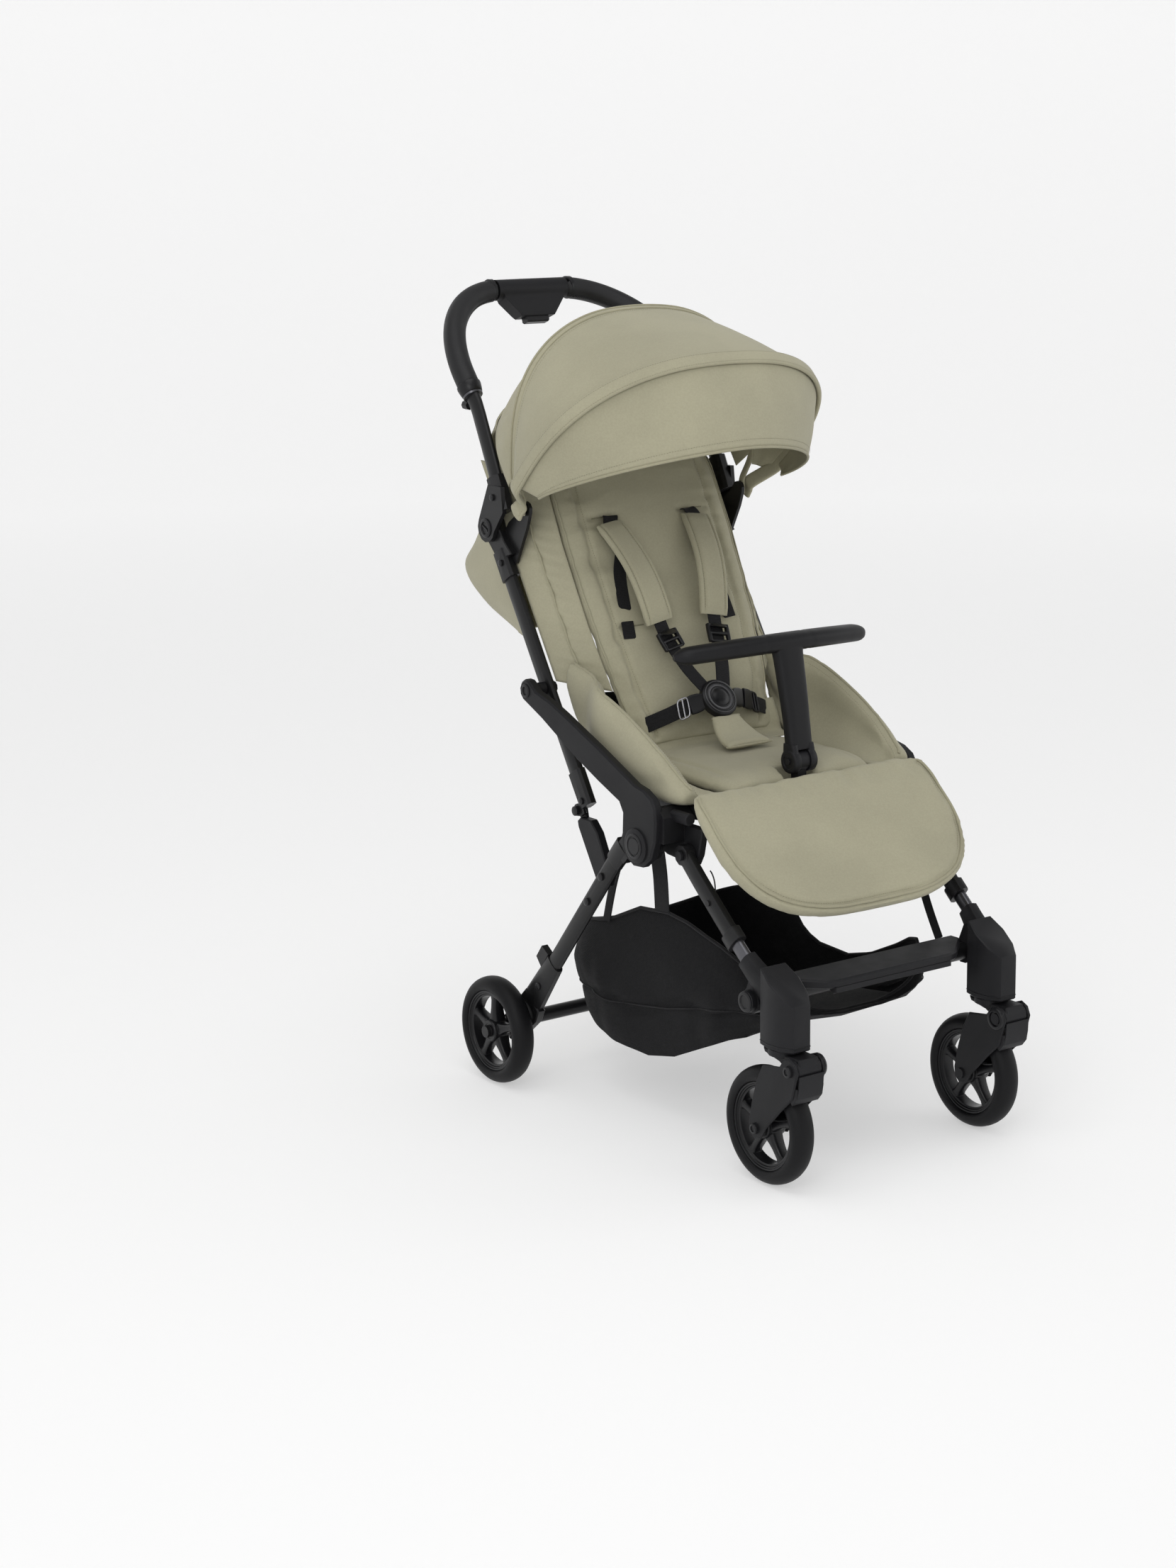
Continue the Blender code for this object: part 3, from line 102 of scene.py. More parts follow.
CLOTH_THICK, LINING_THICK = 0.0012, 0.0010
PIPING_R = 0.0017


def at(point, x=0.0):
    """A point of the side view, (y, z), as a place in space."""
    return Vector((x, point[0], point[1]))


def unit(*values):
    """A direction of length one."""
    return Vector(values).normalized()


def settled(y, z, x=0.0):
    """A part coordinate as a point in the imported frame."""
    return (x, y + SHIFT_Y, z)


# %% [markdown]
# ## Small tools for meshes
#
# Most pieces here are skins over a row of sections, or a section swept along a line. A Curve object
# with a bevel could draw a tube, but it can't change its section from place to place, so the sections
# are laid as rings in a bmesh and bridged with the bmesh operators.

# %% Curves, sections and lofted skins
def spline(points, count, closed=False):
    """count places on a smooth curve through the points, each of which may hold any number of values."""
    given = np.array([list(p) for p in points], float)
    size = len(given)
    found = []
    for t in np.linspace(0, size if closed else size - 1, count, endpoint=not closed):
        i = min(int(t), size - (1 if closed else 2))
        f = t - i
        near = [(i + k) % size if closed else min(max(i + k, 0), size - 1) for k in (-1, 0, 1, 2)]
        a, b, c, d = given[near]
        found.append(b + 0.5 * f * (c - a + f * (2 * a - 5 * b + 4 * c - d + f * (3 * (b - c) + d - a))))
    return found


def power(value, exponent):
    """A power that keeps the sign, for rounded sections."""
    return math.copysign(abs(value) ** exponent, value)


def oval(centre, u, v, a, b, count=12, exponent=2.0, turn=0.0):
    """Points of a rounded section about centre, a along u and b along v."""
    points = []
    for i in range(count):
        t = 2 * math.pi * (i + turn) / count
        across, up = a * power(math.cos(t), 2 / exponent), b * power(math.sin(t), 2 / exponent)
        points.append(Vector(centre) + u * across + v * up)
    return points


def frames(path, side, closed=False):
    """Point, side and normal along a path."""
    points = [Vector(p) for p in path]
    last = len(points) - 1
    found = []
    for i, p in enumerate(points):
        if closed:
            along = points[(i + 1) % len(points)] - points[i - 1]
        else:
            along = points[min(i + 1, last)] - points[max(i - 1, 0)]
        along.normalize()
        across = Vector(side) - along * along.dot(Vector(side))
        across.normalize()
        found.append((p, across, along.cross(across)))
    return found


def skin(rows, round_rows=True, closed=False, caps=True):
    """A mesh over rows of points. Rows may join up on themselves, and the last row may join the first."""
    bm = bmesh.new()
    made = [[bm.verts.new(p) for p in row] for row in rows]
    count = len(made[0])
    pairs = list(zip(made, made[1:])) + ([(made[-1], made[0])] if closed else [])
    for a, b in pairs:
        for i in range(count if round_rows else count - 1):
            j = (i + 1) % count
            bm.faces.new((a[i], a[j], b[j], b[i]))
    if caps and round_rows and not closed:
        bm.faces.new(made[0])
        bm.faces.new(made[-1][::-1])
    if round_rows:
        bmesh.ops.recalc_face_normals(bm, faces=bm.faces)
    return mesh_of(bm)


def mesh_of(bm):
    """The finished mesh of a bmesh."""
    mesh = bpy.data.meshes.new("piece")
    bm.to_mesh(mesh)
    bm.free()
    return mesh


def together(*meshes):
    """One mesh of several."""
    bm = bmesh.new()
    for mesh in meshes:
        bm.from_mesh(mesh)
    return mesh_of(bm)


def values(amount, count):
    """One value for each ring, from a list or from a single value."""
    return list(amount) if isinstance(amount, (list, tuple)) else [amount] * count


def sweep(path, a, b, count=16, exponent=2.0, side=X, closed=False, turn=0.0):
    """A bar of rounded section along a path; a and b may change from point to point."""
    a, b = values(a, len(path)), values(b, len(path))
    found = frames(path, side, closed)
    return skin(
        [oval(p, u, v, a[i], b[i], count, exponent, turn) for i, (p, u, v) in enumerate(found)],
        closed=closed
    )


def cord_of(path, radius, count=8, closed=False):
    """A round cord along a path, for piping and for welted edges."""
    return sweep(path, radius, radius, count, 2.0, unit(0.31, 0.52, 0.79), closed)

# %% [markdown]
# Wheels, rivets, caps and collars are round about an axis, as if from a lathe. Spinning a profile gives
# them even rings, which a swept tube wouldn't, and a closed profile gives a ring with a bore.

# %% Turned pieces and mirrored ones
def turned(profile, centre, axis=X, count=64, closed=False):
    """A turned piece: (distance along the axis, radius) pairs about the axis through the centre."""
    u = axis.orthogonal().normalized()
    v = axis.cross(u)
    rows = [oval(Vector(centre) + axis * s, u, v, r, r, count) for s, r in profile]
    return skin(rows, closed=closed)


def mirrored(mesh):
    """The right-hand copy of a left-hand mesh, with its faces turned out again."""
    other = mesh.copy()
    other.transform(Matrix.Diagonal((-1, 1, 1, 1)))
    other.flip_normals()
    return other

# %% [markdown]
# Each stitch is a tiny spindle of eight faces. There are thousands, so they have no more faces than
# that, and all the stitches of one seam are one piece.

# %% Sewing thread
def stitches(path, outwards, spacing=0.0034, length=0.0022, radius=0.00035):
    """Short thread stitches laid along a path; outwards gives the cloth's normal at each of its points."""
    points = [Vector(p) for p in path]
    travelled = [0.0]
    for a, b in zip(points, points[1:]):
        travelled.append(travelled[-1] + (b - a).length)
    bm = bmesh.new()
    for k in range(int(travelled[-1] / spacing)):
        s = (k + 0.5) * spacing
        i = min(max(int(np.searchsorted(travelled, s)) - 1, 0), len(points) - 2)
        f = (s - travelled[i]) / max(travelled[i + 1] - travelled[i], 1e-9)
        along = (points[i + 1] - points[i]).normalized()
        out = Vector(outwards[i] if isinstance(outwards, list) else outwards).normalized()
        across = along.cross(out).normalized()
        middle = points[i].lerp(points[i + 1], f)
        ring = [
            bm.verts.new(middle + (across * c + out * d) * radius)
            for c, d in ((1, 0), (0, 1), (-1, 0), (0, -0.6))
        ]
        ends = [bm.verts.new(middle + along * e * length / 2 - out * radius * 0.3) for e in (-1, 1)]
        for j in range(4):
            bm.faces.new((ring[j], ring[(j + 1) % 4], ends[0]))
            bm.faces.new((ring[(j + 1) % 4], ring[j], ends[1]))
    return mesh_of(bm)


# %% [markdown]
# ## Placing a piece
#
# A real stroller moves, so each piece has to say what it rides on. A hard piece rides on one CAD body,
# while cloth between two moving bars is left where it lies, on no body. Where a piece stands for a
# CAD solid, that solid is hidden and the piece takes its place.

# %% A piece and its mirrored twin
def piece(name, mesh, surface, body, instead=(), angle=50, subdivide=0, thickness=0.0, bend=None):
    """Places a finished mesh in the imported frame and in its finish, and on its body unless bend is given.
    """
    mesh.transform(Matrix.Translation((0, SHIFT_Y, 0)))
    mesh.name = name
    mesh.materials.clear()
    mesh.materials.append(surface)
    mesh.shade_smooth()
    mesh.set_sharp_from_angle(angle=math.radians(angle))
    made = bpy.data.objects.new(name, mesh)
    bpy.context.scene.collection.objects.link(made)
    if thickness:
        shell = made.modifiers.new("thickness", "SOLIDIFY")
        shell.thickness = thickness
        shell.offset = -1
    if subdivide:
        smooth = made.modifiers.new("smooth", "SUBSURF")
        smooth.levels = smooth.render_levels = subdivide
    if bend:
        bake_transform(made)
    else:
        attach(made, body)
    if instead:
        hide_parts(*instead)
    print(f"{name}: {len(mesh.polygons)} faces on {body}")
    return made


def pair(name, mesh, surface, body, instead=(), **more):
    """A left piece and its mirrored right one. A body or node that ends in _L becomes _R on the right."""
    other = mirrored(mesh)
    swap = {word: (word[:-2] + "_R" if word.endswith("_L") else word) for word in (body, *instead)}
    left = piece(name + "_L", mesh, surface, body, instead, **more)
    right = piece(name + "_R", other, surface, swap[body], [swap[word] for word in instead], **more)
    return left, right


# %% [markdown]
# ## Camera
#
# The photographer stood at the stroller's left front, a little above the seat, and looked down by
# eleven degrees. A camera could be set by eye, but vertical and level lines and the wheels' circles
# fix it, so its numbers are typed in from that fit.

# %% The camera
YAW, PITCH, ROLL = math.radians(-37.4296), math.radians(11.393), math.radians(-0.1207)
back = Vector((math.sin(YAW) * math.cos(PITCH), -math.cos(YAW) * math.cos(PITCH), math.sin(PITCH)))
level = (-back).cross(Z).normalized()
upright = level.cross(-back)
side_way = level * math.cos(ROLL) + upright * math.sin(ROLL)
up_way = -level * math.sin(ROLL) + upright * math.cos(ROLL)
lens = bpy.data.cameras.new("camera")
lens.lens, lens.sensor_width, lens.sensor_fit = 65.82, 36, "AUTO"
lens.shift_x, lens.shift_y = -0.0743, -0.0555
camera = bpy.data.objects.new("camera", lens)
bpy.context.scene.collection.objects.link(camera)
camera.matrix_world = Matrix(
    [
        (side_way.x, up_way.x, back.x, -2.2110963),
        (side_way.y, up_way.y, back.y, -2.87890456),
        (side_way.z, up_way.z, back.z, 1.25307787),
        (0, 0, 0, 1),
    ]
)
bpy.context.scene.camera = camera
bpy.context.scene.view_settings.view_transform = "Standard"

# %% [markdown]
# ## Colours and node helpers
#
# Painted plastic, coated tube and cloth all differ by how light spreads, shines and breaks up on them.
# Image textures could show that, but node patterns on the object's own coordinates need no picture and
# no unwrapping, and their scale can be given in real sizes. Colours are hex codes turned to linear.

# %% Colours and shader nodes
def srgb(code):
    """A linear colour from a hex code."""
    parts = [int(code[i : i + 2], 16) / 255 for i in (0, 2, 4)]
    return (*[c / 12.92 if c <= 0.04045 else ((c + 0.055) / 1.055) ** 2.4 for c in parts], 1.0)


def add_node(tree, kind, inputs=None, **settings):
    """A shader node. inputs holds a value or another node's output for each socket, by name or by place."""
    made = tree.nodes.new("ShaderNode" + kind)
    for name, value in settings.items():
        setattr(made, name, value)
    for name, value in (inputs or {}).items():
        if isinstance(value, bpy.types.NodeSocket):
            tree.links.new(value, made.inputs[name])
        else:
            made.inputs[name].default_value = value
    return made


def surface(name, colour, roughness, metallic=0.0, sheen=0.0, specular=0.5):
    """A new material, its tree, its shader and the object coordinates."""
    made = bpy.data.materials.new(name)
    made.use_nodes = True
    tree = made.node_tree
    shader = tree.nodes["Principled BSDF"]
    shader.inputs["Base Color"].default_value = srgb(colour)
    shader.inputs["Roughness"].default_value = roughness
    shader.inputs["Metallic"].default_value = metallic
    shader.inputs["Sheen Weight"].default_value = sheen
    shader.inputs["Specular IOR Level"].default_value = specular
    made.diffuse_color = srgb(colour)
    place = add_node(tree, "TexCoord").outputs["Object"]
    return made, tree, shader, place


def noise_of(tree, place, scale, detail=2.0, rough=0.5):
    """The height of a noise pattern."""
    return add_node(
        tree, "TexNoise", {"Vector": place, "Scale": scale, "Detail": detail, "Roughness": rough}
    ).outputs["Fac"]


def spread(tree, value, low, high, start=0.35, end=0.65):
    """The value from start to end, spread from low to high."""
    inputs = {"Value": value, "From Min": start, "From Max": end, "To Min": low, "To Max": high}
    return add_node(tree, "MapRange", inputs).outputs["Result"]


def tinted(tree, colour, factor):
    """The colour made lighter or darker by the factor."""
    inputs = {0: 1.0, 6: srgb(colour), 7: factor}
    return add_node(tree, "Mix", inputs, data_type="RGBA", blend_type="MULTIPLY").outputs[2]


def total(tree, *parts):
    """The sum of shader values."""
    found = parts[0]
    for part in parts[1:]:
        found = add_node(tree, "Math", {0: found, 1: part}, operation="ADD").outputs[0]
    return found


def scaled(tree, part, amount):
    """A shader value times a number."""
    return add_node(tree, "Math", {0: part, 1: amount}, operation="MULTIPLY").outputs[0]


def relief(tree, shader, height, distance, strength=1.0, edge=0.0):
    """Bump from a height, over rounded edges where edge is set."""
    inputs = {"Height": height, "Distance": distance, "Strength": strength}
    if edge:
        inputs["Normal"] = add_node(tree, "Bevel", {"Radius": edge}, samples=4).outputs["Normal"]
    bump = add_node(tree, "Bump", inputs)
    tree.links.new(bump.outputs["Normal"], shader.inputs["Normal"])


def threads(tree, place, pitch, directions):
    """Height of crossing threads: one sine wave along each direction."""
    waves = []
    for way in directions:
        along = add_node(
            tree, "VectorMath", {0: place, 1: tuple(w * 2 * math.pi / pitch for w in way)},
            operation="DOT_PRODUCT"
        )
        waves.append(add_node(tree, "Math", {0: along.outputs["Value"]}, operation="SINE").outputs[0])
    if len(waves) == 1:
        return waves[0]
    return add_node(tree, "Math", {0: waves[0], 1: waves[1]}, operation="MULTIPLY").outputs[0]


def wear(tree, low, high):
    """A factor that rises along outer edges, where hands and shoes rub."""
    point = add_node(tree, "NewGeometry").outputs["Pointiness"]
    return spread(tree, point, low, high, 0.50, 0.58)


# %% [markdown]
# ## Materials
#
# The seat is woven polyester, the fittings are moulded nylon, the frame is coated aluminium tube. Two
# functions make nearly all of them: one for cloth, with threads, uneven dye and soft creases, and one
# for hard finishes, with grain, uneven gloss and rubbed edges. Each material then sets its own values.

# %% Cloth and hard finishes
# Real threads are about 0.3 mm apart. They are drawn at about three times that, so that they show.
# Noise scales are per metre: 9 gives dye patches of 110 mm, 16 creases of 60 mm, 420 flecks of 2.4 mm.
def cloth(name, colour, pitch, crease=0.0, weave=0.00005, sheen=0.12, roughness=0.88, variation=0.05):
    """Woven cloth: crossing threads, flecks of yarn, uneven dye and soft creases."""
    made, tree, shader, place = surface(name, colour, roughness, sheen=sheen, specular=0.25)
    pattern = threads(tree, place, pitch, ((0.96, 0.20, 0.18), (-0.12, 0.66, 0.74)))
    patches = noise_of(tree, place, 9.0, 3.0)
    flecks = noise_of(tree, place, 420.0, 2.0)
    shade = total(
        tree, spread(tree, patches, 1 - variation, 1 + variation), spread(tree, flecks, -0.035, 0.035),
        scaled(tree, pattern, 0.03)
    )
    tree.links.new(tinted(tree, colour, shade), shader.inputs["Base Color"])
    tree.links.new(spread(tree, flecks, roughness - 0.05, roughness + 0.05), shader.inputs["Roughness"])
    soft = scaled(tree, noise_of(tree, place, 16.0, 2.0), crease)
    height = total(tree, scaled(tree, pattern, weave), soft, scaled(tree, flecks, 0.00006))
    relief(tree, shader, height, 1.0)
    return made


# A grain of 1500 per metre is 0.7 mm wide, coarser than the real 0.1 to 0.3 mm, so that it shows.
def moulded(
    name, colour, roughness, metallic=0.0, grain=1500.0, depth=0.00003, edge=0.0007, specular=0.45,
    rub=1.5
):
    """A hard finish: fine grain, uneven gloss, softened edges and rubbed corners."""
    made, tree, shader, place = surface(name, colour, roughness, metallic, specular=specular)
    fine = noise_of(tree, place, grain, 2.0)
    broad = noise_of(tree, place, 14.0, 4.0, 0.6)
    shade = add_node(
        tree, "Math", {0: spread(tree, broad, 0.92, 1.08), 1: wear(tree, 1.0, rub)}, operation="MULTIPLY"
    ).outputs[0]
    tree.links.new(tinted(tree, colour, shade), shader.inputs["Base Color"])
    tree.links.new(spread(tree, broad, roughness - 0.05, roughness + 0.06), shader.inputs["Roughness"])
    relief(tree, shader, fine, depth, 0.8, edge)
    return made

# %% [markdown]
# The sage cloth is piece-dyed polyester, dull with a faint sheen. Its real threads lie about 0.3 mm
# apart, too fine to show, so they are drawn three times as coarse. The frame is powder-coated
# aluminium, half glossy, with dark moulded nylon at the joints, which is duller and finely grained.
# The front legs slide on bare anodised tubes, and only the webbing slider is bright steel.

# %% The stroller's own finishes
# Piece-dyed polyester: dull, a little sheen at a low angle, soft creases of about 60 mm.
SAGE = cloth("sage woven polyester", "A19D86", 0.0009, crease=0.0012)
# The same cloth where bows stretch it, so its creases are half as deep.
SAGE_TAUT = cloth("sage woven polyester, stretched", "A19D86", 0.0009, crease=0.0006)
# Bias-cut binding, rolled tight over a cord: slightly darker and without creases.
PIPING = cloth("sage bound piping", "9A967F", 0.0012)
# Twisted polyester thread: darker than the cloth, and smoother because it is tight.
THREAD = cloth("sage sewing thread", "7C7963", 0.0006, roughness=0.7)
# Thin black lining: almost no sheen, so only its folds show.
LINING = cloth("black lining cloth", "0F0F11", 0.0010, crease=0.0012, sheen=0.03)
# Coarse black basket cloth: deep weave, and so dark that little but its folds shows.
MESH_CLOTH = cloth("black basket cloth", "0C0C0E", 0.0014, crease=0.0016, weave=0.0001, sheen=0.02)
# Glass-filled nylon with a spark-eroded grain: the dullest of the hard parts.
NYLON = moulded("black grained nylon", "131315", 0.47, specular=0.22)
# The same nylon from a smoother mould: rims, caps and the button have a soft shine.
SATIN = moulded("black satin nylon", "111113", 0.33, grain=900.0, depth=0.00001, specular=0.30)
# Powder-coated aluminium: an even half gloss with long highlights down each tube.
TUBE = moulded(
    "black coated aluminium tube", "161617", 0.34, metallic=0.25, grain=2200.0, depth=0.00001,
    edge=0.0005, specular=0.35
)
# Brushed steel wire: a bare metal, so its colour is all in the reflection.
BRIGHT = moulded(
    "brushed bright steel", "9C9CA0", 0.28, metallic=1.0, grain=2600.0, depth=0.000005, edge=0.0003,
    rub=1.0
)
# Solid tyre rubber: no rubbed edges.
RUBBER = moulded(
    "black tyre rubber", "0E0E10", 0.52, grain=700.0, depth=0.00004, edge=0.0, specular=0.20, rub=1.0
)
# Anodised aluminium: a metal dulled by its oxide, grey and even.
ANODISED = moulded(
    "grey anodised inner tube", "5C5C60", 0.28, metallic=0.9, grain=2400.0, depth=0.000006, edge=0.0,
    rub=1.0
)


# The real ribs are about 1 mm apart. They are drawn at 1.6 mm and the columns at 2.1 mm, so that they show.
def webbing_material():
    """Narrow woven strap: ribs across it and columns of yarn along it."""
    made, tree, shader, place = surface(
        "black polypropylene webbing", "111113", 0.75, sheen=0.05, specular=0.25
    )
    ribs = threads(tree, place, 0.0016, ((0.0, 0.62, 0.78),))
    columns = threads(tree, place, 0.0021, ((1.0, 0.0, 0.0),))
    height = total(tree, scaled(tree, ribs, 0.0001), scaled(tree, columns, 0.0001))
    flecks = noise_of(tree, place, 300.0)
    tree.links.new(
        tinted(tree, "111113", total(tree, spread(tree, flecks, 0.85, 1.2), scaled(tree, ribs, 0.12))),
        shader.inputs["Base Color"]
    )
    relief(tree, shader, height, 1.0)
    return made


# Plastic leather has pebbles of about 1 mm. 620 cells per metre draws them at 1.6 mm, so that they show.
def leatherette_material():
    """Embossed plastic leather: small rounded cells with dark creases between them."""
    made, tree, shader, place = surface("black grip leatherette", "161618", 0.55, specular=0.35)
    cells = add_node(
        tree, "TexVoronoi", {"Vector": place, "Scale": 620.0}, feature="DISTANCE_TO_EDGE"
    ).outputs["Distance"]
    broad = noise_of(tree, place, 30.0, 3.0)
    tree.links.new(tinted(tree, "161618", spread(tree, broad, 0.85, 1.2)), shader.inputs["Base Color"])
    tree.links.new(spread(tree, broad, 0.46, 0.60), shader.inputs["Roughness"])
    relief(tree, shader, spread(tree, cells, 0.0, 1.0, 0.0, 0.3), 0.00008, 0.9)
    return made


WEBBING = webbing_material()
LEATHERETTE = leatherette_material()

# %% [markdown]
# ## Hard CAD nodes
#
# Tubes, joints and forks come from the CAD and keep their shape. They are packed as loose triangles,
# which would shade as flat facets. Merging them by hand would change the CAD, so a small node group
# welds them and shades only edges below 33 degrees, and leaves the stored mesh as it is.

# %% Welding and shading the solids
WELD_GAP, SMOOTH_BELOW = 0.00002, math.radians(33)


def welding_group():
    """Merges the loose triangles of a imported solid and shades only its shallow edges."""
    group = bpy.data.node_groups.new("weld and shade", "GeometryNodeTree")
    group.interface.new_socket("Geometry", in_out="INPUT", socket_type="NodeSocketGeometry")
    group.interface.new_socket("Geometry", in_out="OUTPUT", socket_type="NodeSocketGeometry")
    start, end = group.nodes.new("NodeGroupInput"), group.nodes.new("NodeGroupOutput")
    merge = group.nodes.new("GeometryNodeMergeByDistance")
    merge.inputs["Distance"].default_value = WELD_GAP
    drop = group.nodes.new("GeometryNodeRemoveAttribute")
    drop.inputs["Name"].default_value = "custom_normal"
    faces = group.nodes.new("GeometryNodeSetShadeSmooth")
    faces.inputs["Shade Smooth"].default_value = True
    edges = group.nodes.new("GeometryNodeSetShadeSmooth")
    edges.domain = "EDGE"
    turn = group.nodes.new("GeometryNodeInputMeshEdgeAngle")
    limit = group.nodes.new("FunctionNodeCompare")
    limit.operation = "LESS_THAN"
    limit.inputs["B"].default_value = SMOOTH_BELOW
    group.links.new(turn.outputs["Unsigned Angle"], limit.inputs["A"])
    group.links.new(limit.outputs["Result"], edges.inputs["Shade Smooth"])
    chain = [start, drop, merge, faces, edges, end]
    for a, b in zip(chain, chain[1:]):
        group.links.new(a.outputs["Geometry"], b.inputs["Geometry"])
    return group


WELD = welding_group()

# %% [markdown]
# The moulded joints are nylon, and every tube has the coated finish. The solids that a finer piece
# stands for are not listed.

# %% Which solid has which finish
HARD = {
    NYLON: [
        "arm", "fork", "knuckle", "caster_housing", "link", "footboard", "brake_pedal", "bumper_mount",
        "handle_centre"
    ],
    SATIN: ["release_button"],
    TUBE: ["handle_tube", "front_leg", "rear_leg", "back_tube", "rear_axle", "cross_tube", "seat_rail"]
}
for finish, names in HARD.items():
    for name in names:
        for known in (name, name + "_L", name + "_R"):
            if known in nodes:
                nodes[known].data.materials.clear()
                nodes[known].data.materials.append(finish)
                nodes[known].modifiers.new("weld", "NODES").node_group = WELD

# %% [markdown]
# ## Wheels
#
# The wheels have smooth round-crowned solid tyres on deep five-spoke rims, with a stepped ring and a
# ringed hub. A torus would make the tyre too round at its walls, so tyre, ring and hub are each a
# profile spun about the axle. The spokes are skins over a few ovals, thinnest halfway out.

# %% Tyres and rims
def tyre(x, axle, radius, bore):
    """A solid tyre with upright walls, a soft shoulder and a rounded crown."""
    half = TYRE_HALF
    side = [
        (half - 0.0040, bore), (half - 0.0012, bore + 0.0012), (half - 0.0003, bore + 0.0040),
        (half, radius - 0.0115)
    ]
    crown = [
        (half - 0.0006, radius - 0.0085), (half - 0.0022, radius - 0.0055),
        (half - 0.0050, radius - 0.0028)
    ]
    crown += [(half - 0.0082, radius - 0.0012), (half - 0.0118, radius - 0.0003), (0.0, radius)]
    whole = [(-s, r) for s, r in side + crown] + [(s, r) for s, r in reversed((side + crown)[:-1])]
    return turned(whole, at(axle, x), count=120, closed=True)


def spoke(middle, turn, inner):
    """One spoke, waisted between the hub and the ring."""
    out = Vector((0, math.cos(turn), math.sin(turn)))
    rows = []
    for r, across, deep in (
        (0.009, 0.0095, 0.0100), (0.016, 0.0082, 0.0096), (0.022, 0.0066, 0.0088),
        (0.030, 0.0055, 0.0080), (inner - 0.006, 0.0054, 0.0074), (inner - 0.001, 0.0072, 0.0076),
        (inner + 0.003, 0.0098, 0.0080)
    ):
        rows.append(oval(middle + out * r, out.cross(X), X, across, deep, 20, 3.2, 0.5))
    return skin(rows)


def rim(x, axle, bore):
    """A stepped ring, a ringed hub and the spokes between them."""
    middle = at(axle, x)
    outer = bore - 0.0003
    ring = [
        (0.0118, outer), (0.0121, outer - 0.0012), (0.0118, outer - 0.0022), (0.0102, outer - 0.0028),
        (0.0102, outer - 0.0044), (0.0086, outer - 0.0052), (0.0078, outer - 0.0074),
        (0.0, outer - 0.0082)
    ]
    ring = ring + [(-s, r) for s, r in reversed(ring[:-1])]
    hub = [
        (0.0140, 0.0020), (0.0140, 0.0066), (0.0132, 0.0070), (0.0132, 0.0098), (0.0140, 0.0102),
        (0.0140, 0.0138), (0.0130, 0.0148), (0.0100, 0.0152), (0.0, 0.0160)
    ]
    hub = hub + [(-s, r) for s, r in reversed(hub[:-1])]
    parts = [turned(ring, middle, count=120, closed=True), turned(hub, middle, count=64)]
    parts += [spoke(middle, math.radians(90 + 72 * i), outer - 0.0068) for i in range(5)]
    return together(*parts)

# %% [markdown]
# Front wheels turn on the forks' axles and rear wheels on the rear legs', so each rides on its own
# wheel body, which spins without limit. That is why nothing on a wheel bends or flattens.

# %% The four wheels
pair(
    "front_wheel_tyre", tyre(-FRONT_X, FRONT_AXLE, FRONT_R, FRONT_BORE), RUBBER, "front_wheel_L",
    ["front_tyre_L"]
)
pair("rear_wheel_tyre", tyre(-REAR_X, REAR_AXLE, REAR_R, REAR_BORE), RUBBER, "rear_wheel_L", ["rear_tyre_L"])
pair(
    "front_wheel_rim", rim(-FRONT_X, FRONT_AXLE, FRONT_BORE), SATIN, "front_wheel_L", ["front_rim_L"],
    angle=40
)
pair("rear_wheel_rim", rim(-REAR_X, REAR_AXLE, REAR_BORE), SATIN, "rear_wheel_L", ["rear_rim_L"], angle=40)

# %% [markdown]
# ## Push bar and grips
#
# The push bar is one tube bent into a wide arch. It is flat-oval below, and rounder above where the
# hands go. A swept round pipe would lose that change, so its two widths are given at each section. The
# CAD's own bar stays under the grips, and this cell draws the finer straight part at each side.

# %% The push bar
BEND_Z = HANDLE_TOP_Z - 0.1425
CORNER_REACH, CORNER_DROP, CORNER_POWER = 0.134, 0.105, 2 / 2.06
BAR_PLANE = Vector((0, 0.80, -0.60))


def handle_y(z):
    """How far back the push bar lies at a height: straight below its bend, curling above."""
    rise = z - BEND_Z
    return 0.2655 + (rise * 0.466 if rise < 0 else 0.6496 * rise + 2.587 * rise * rise)


def bar_point(t):
    """Half the push bar, from t = 0 where its corner starts on the left to t = 1 at the middle of the top."""
    a = t * math.pi / 2
    x = -HANDLE_X + CORNER_REACH * (1 - math.cos(a) ** CORNER_POWER)
    z = HANDLE_TOP_Z - CORNER_DROP * (1 - math.sin(a) ** CORNER_POWER)
    return Vector((x, handle_y(z), z))


def bar_rings(path, a, b, count):
    """Sections along the push bar, kept square to the plane that it is bent in."""
    rows = []
    for i, p in enumerate(path):
        along = (path[min(i + 1, len(path) - 1)] - path[max(i - 1, 0)]).normalized()
        normal = (BAR_PLANE - along * along.dot(BAR_PLANE)).normalized()
        rows.append(oval(p, along.cross(normal).normalized(), normal, a[i], b[i], count))
    return rows


corner = [bar_point(t) for t in np.linspace(0, 1, 33)]
straight = [Vector((-HANDLE_X, handle_y(z), z)) for z in np.linspace(KNEE[1] + 0.0300, BEND_Z + 0.034, 12)]
flat_at = [0.0062] * 9 + [0.0070, 0.0086, 0.0104]
deep_at = [0.0124] * 9 + [0.0122, 0.0119, 0.0115]
pair("push_bar_side", skin(bar_rings(straight, flat_at, deep_at, 32)), TUBE, "handle")

# %% [markdown]
# The grips are foam in embossed leatherette, drawn round the bent bar. They are skins along the
# bar's own line, full in the middle and drawn in over a few millimetres at their ends.

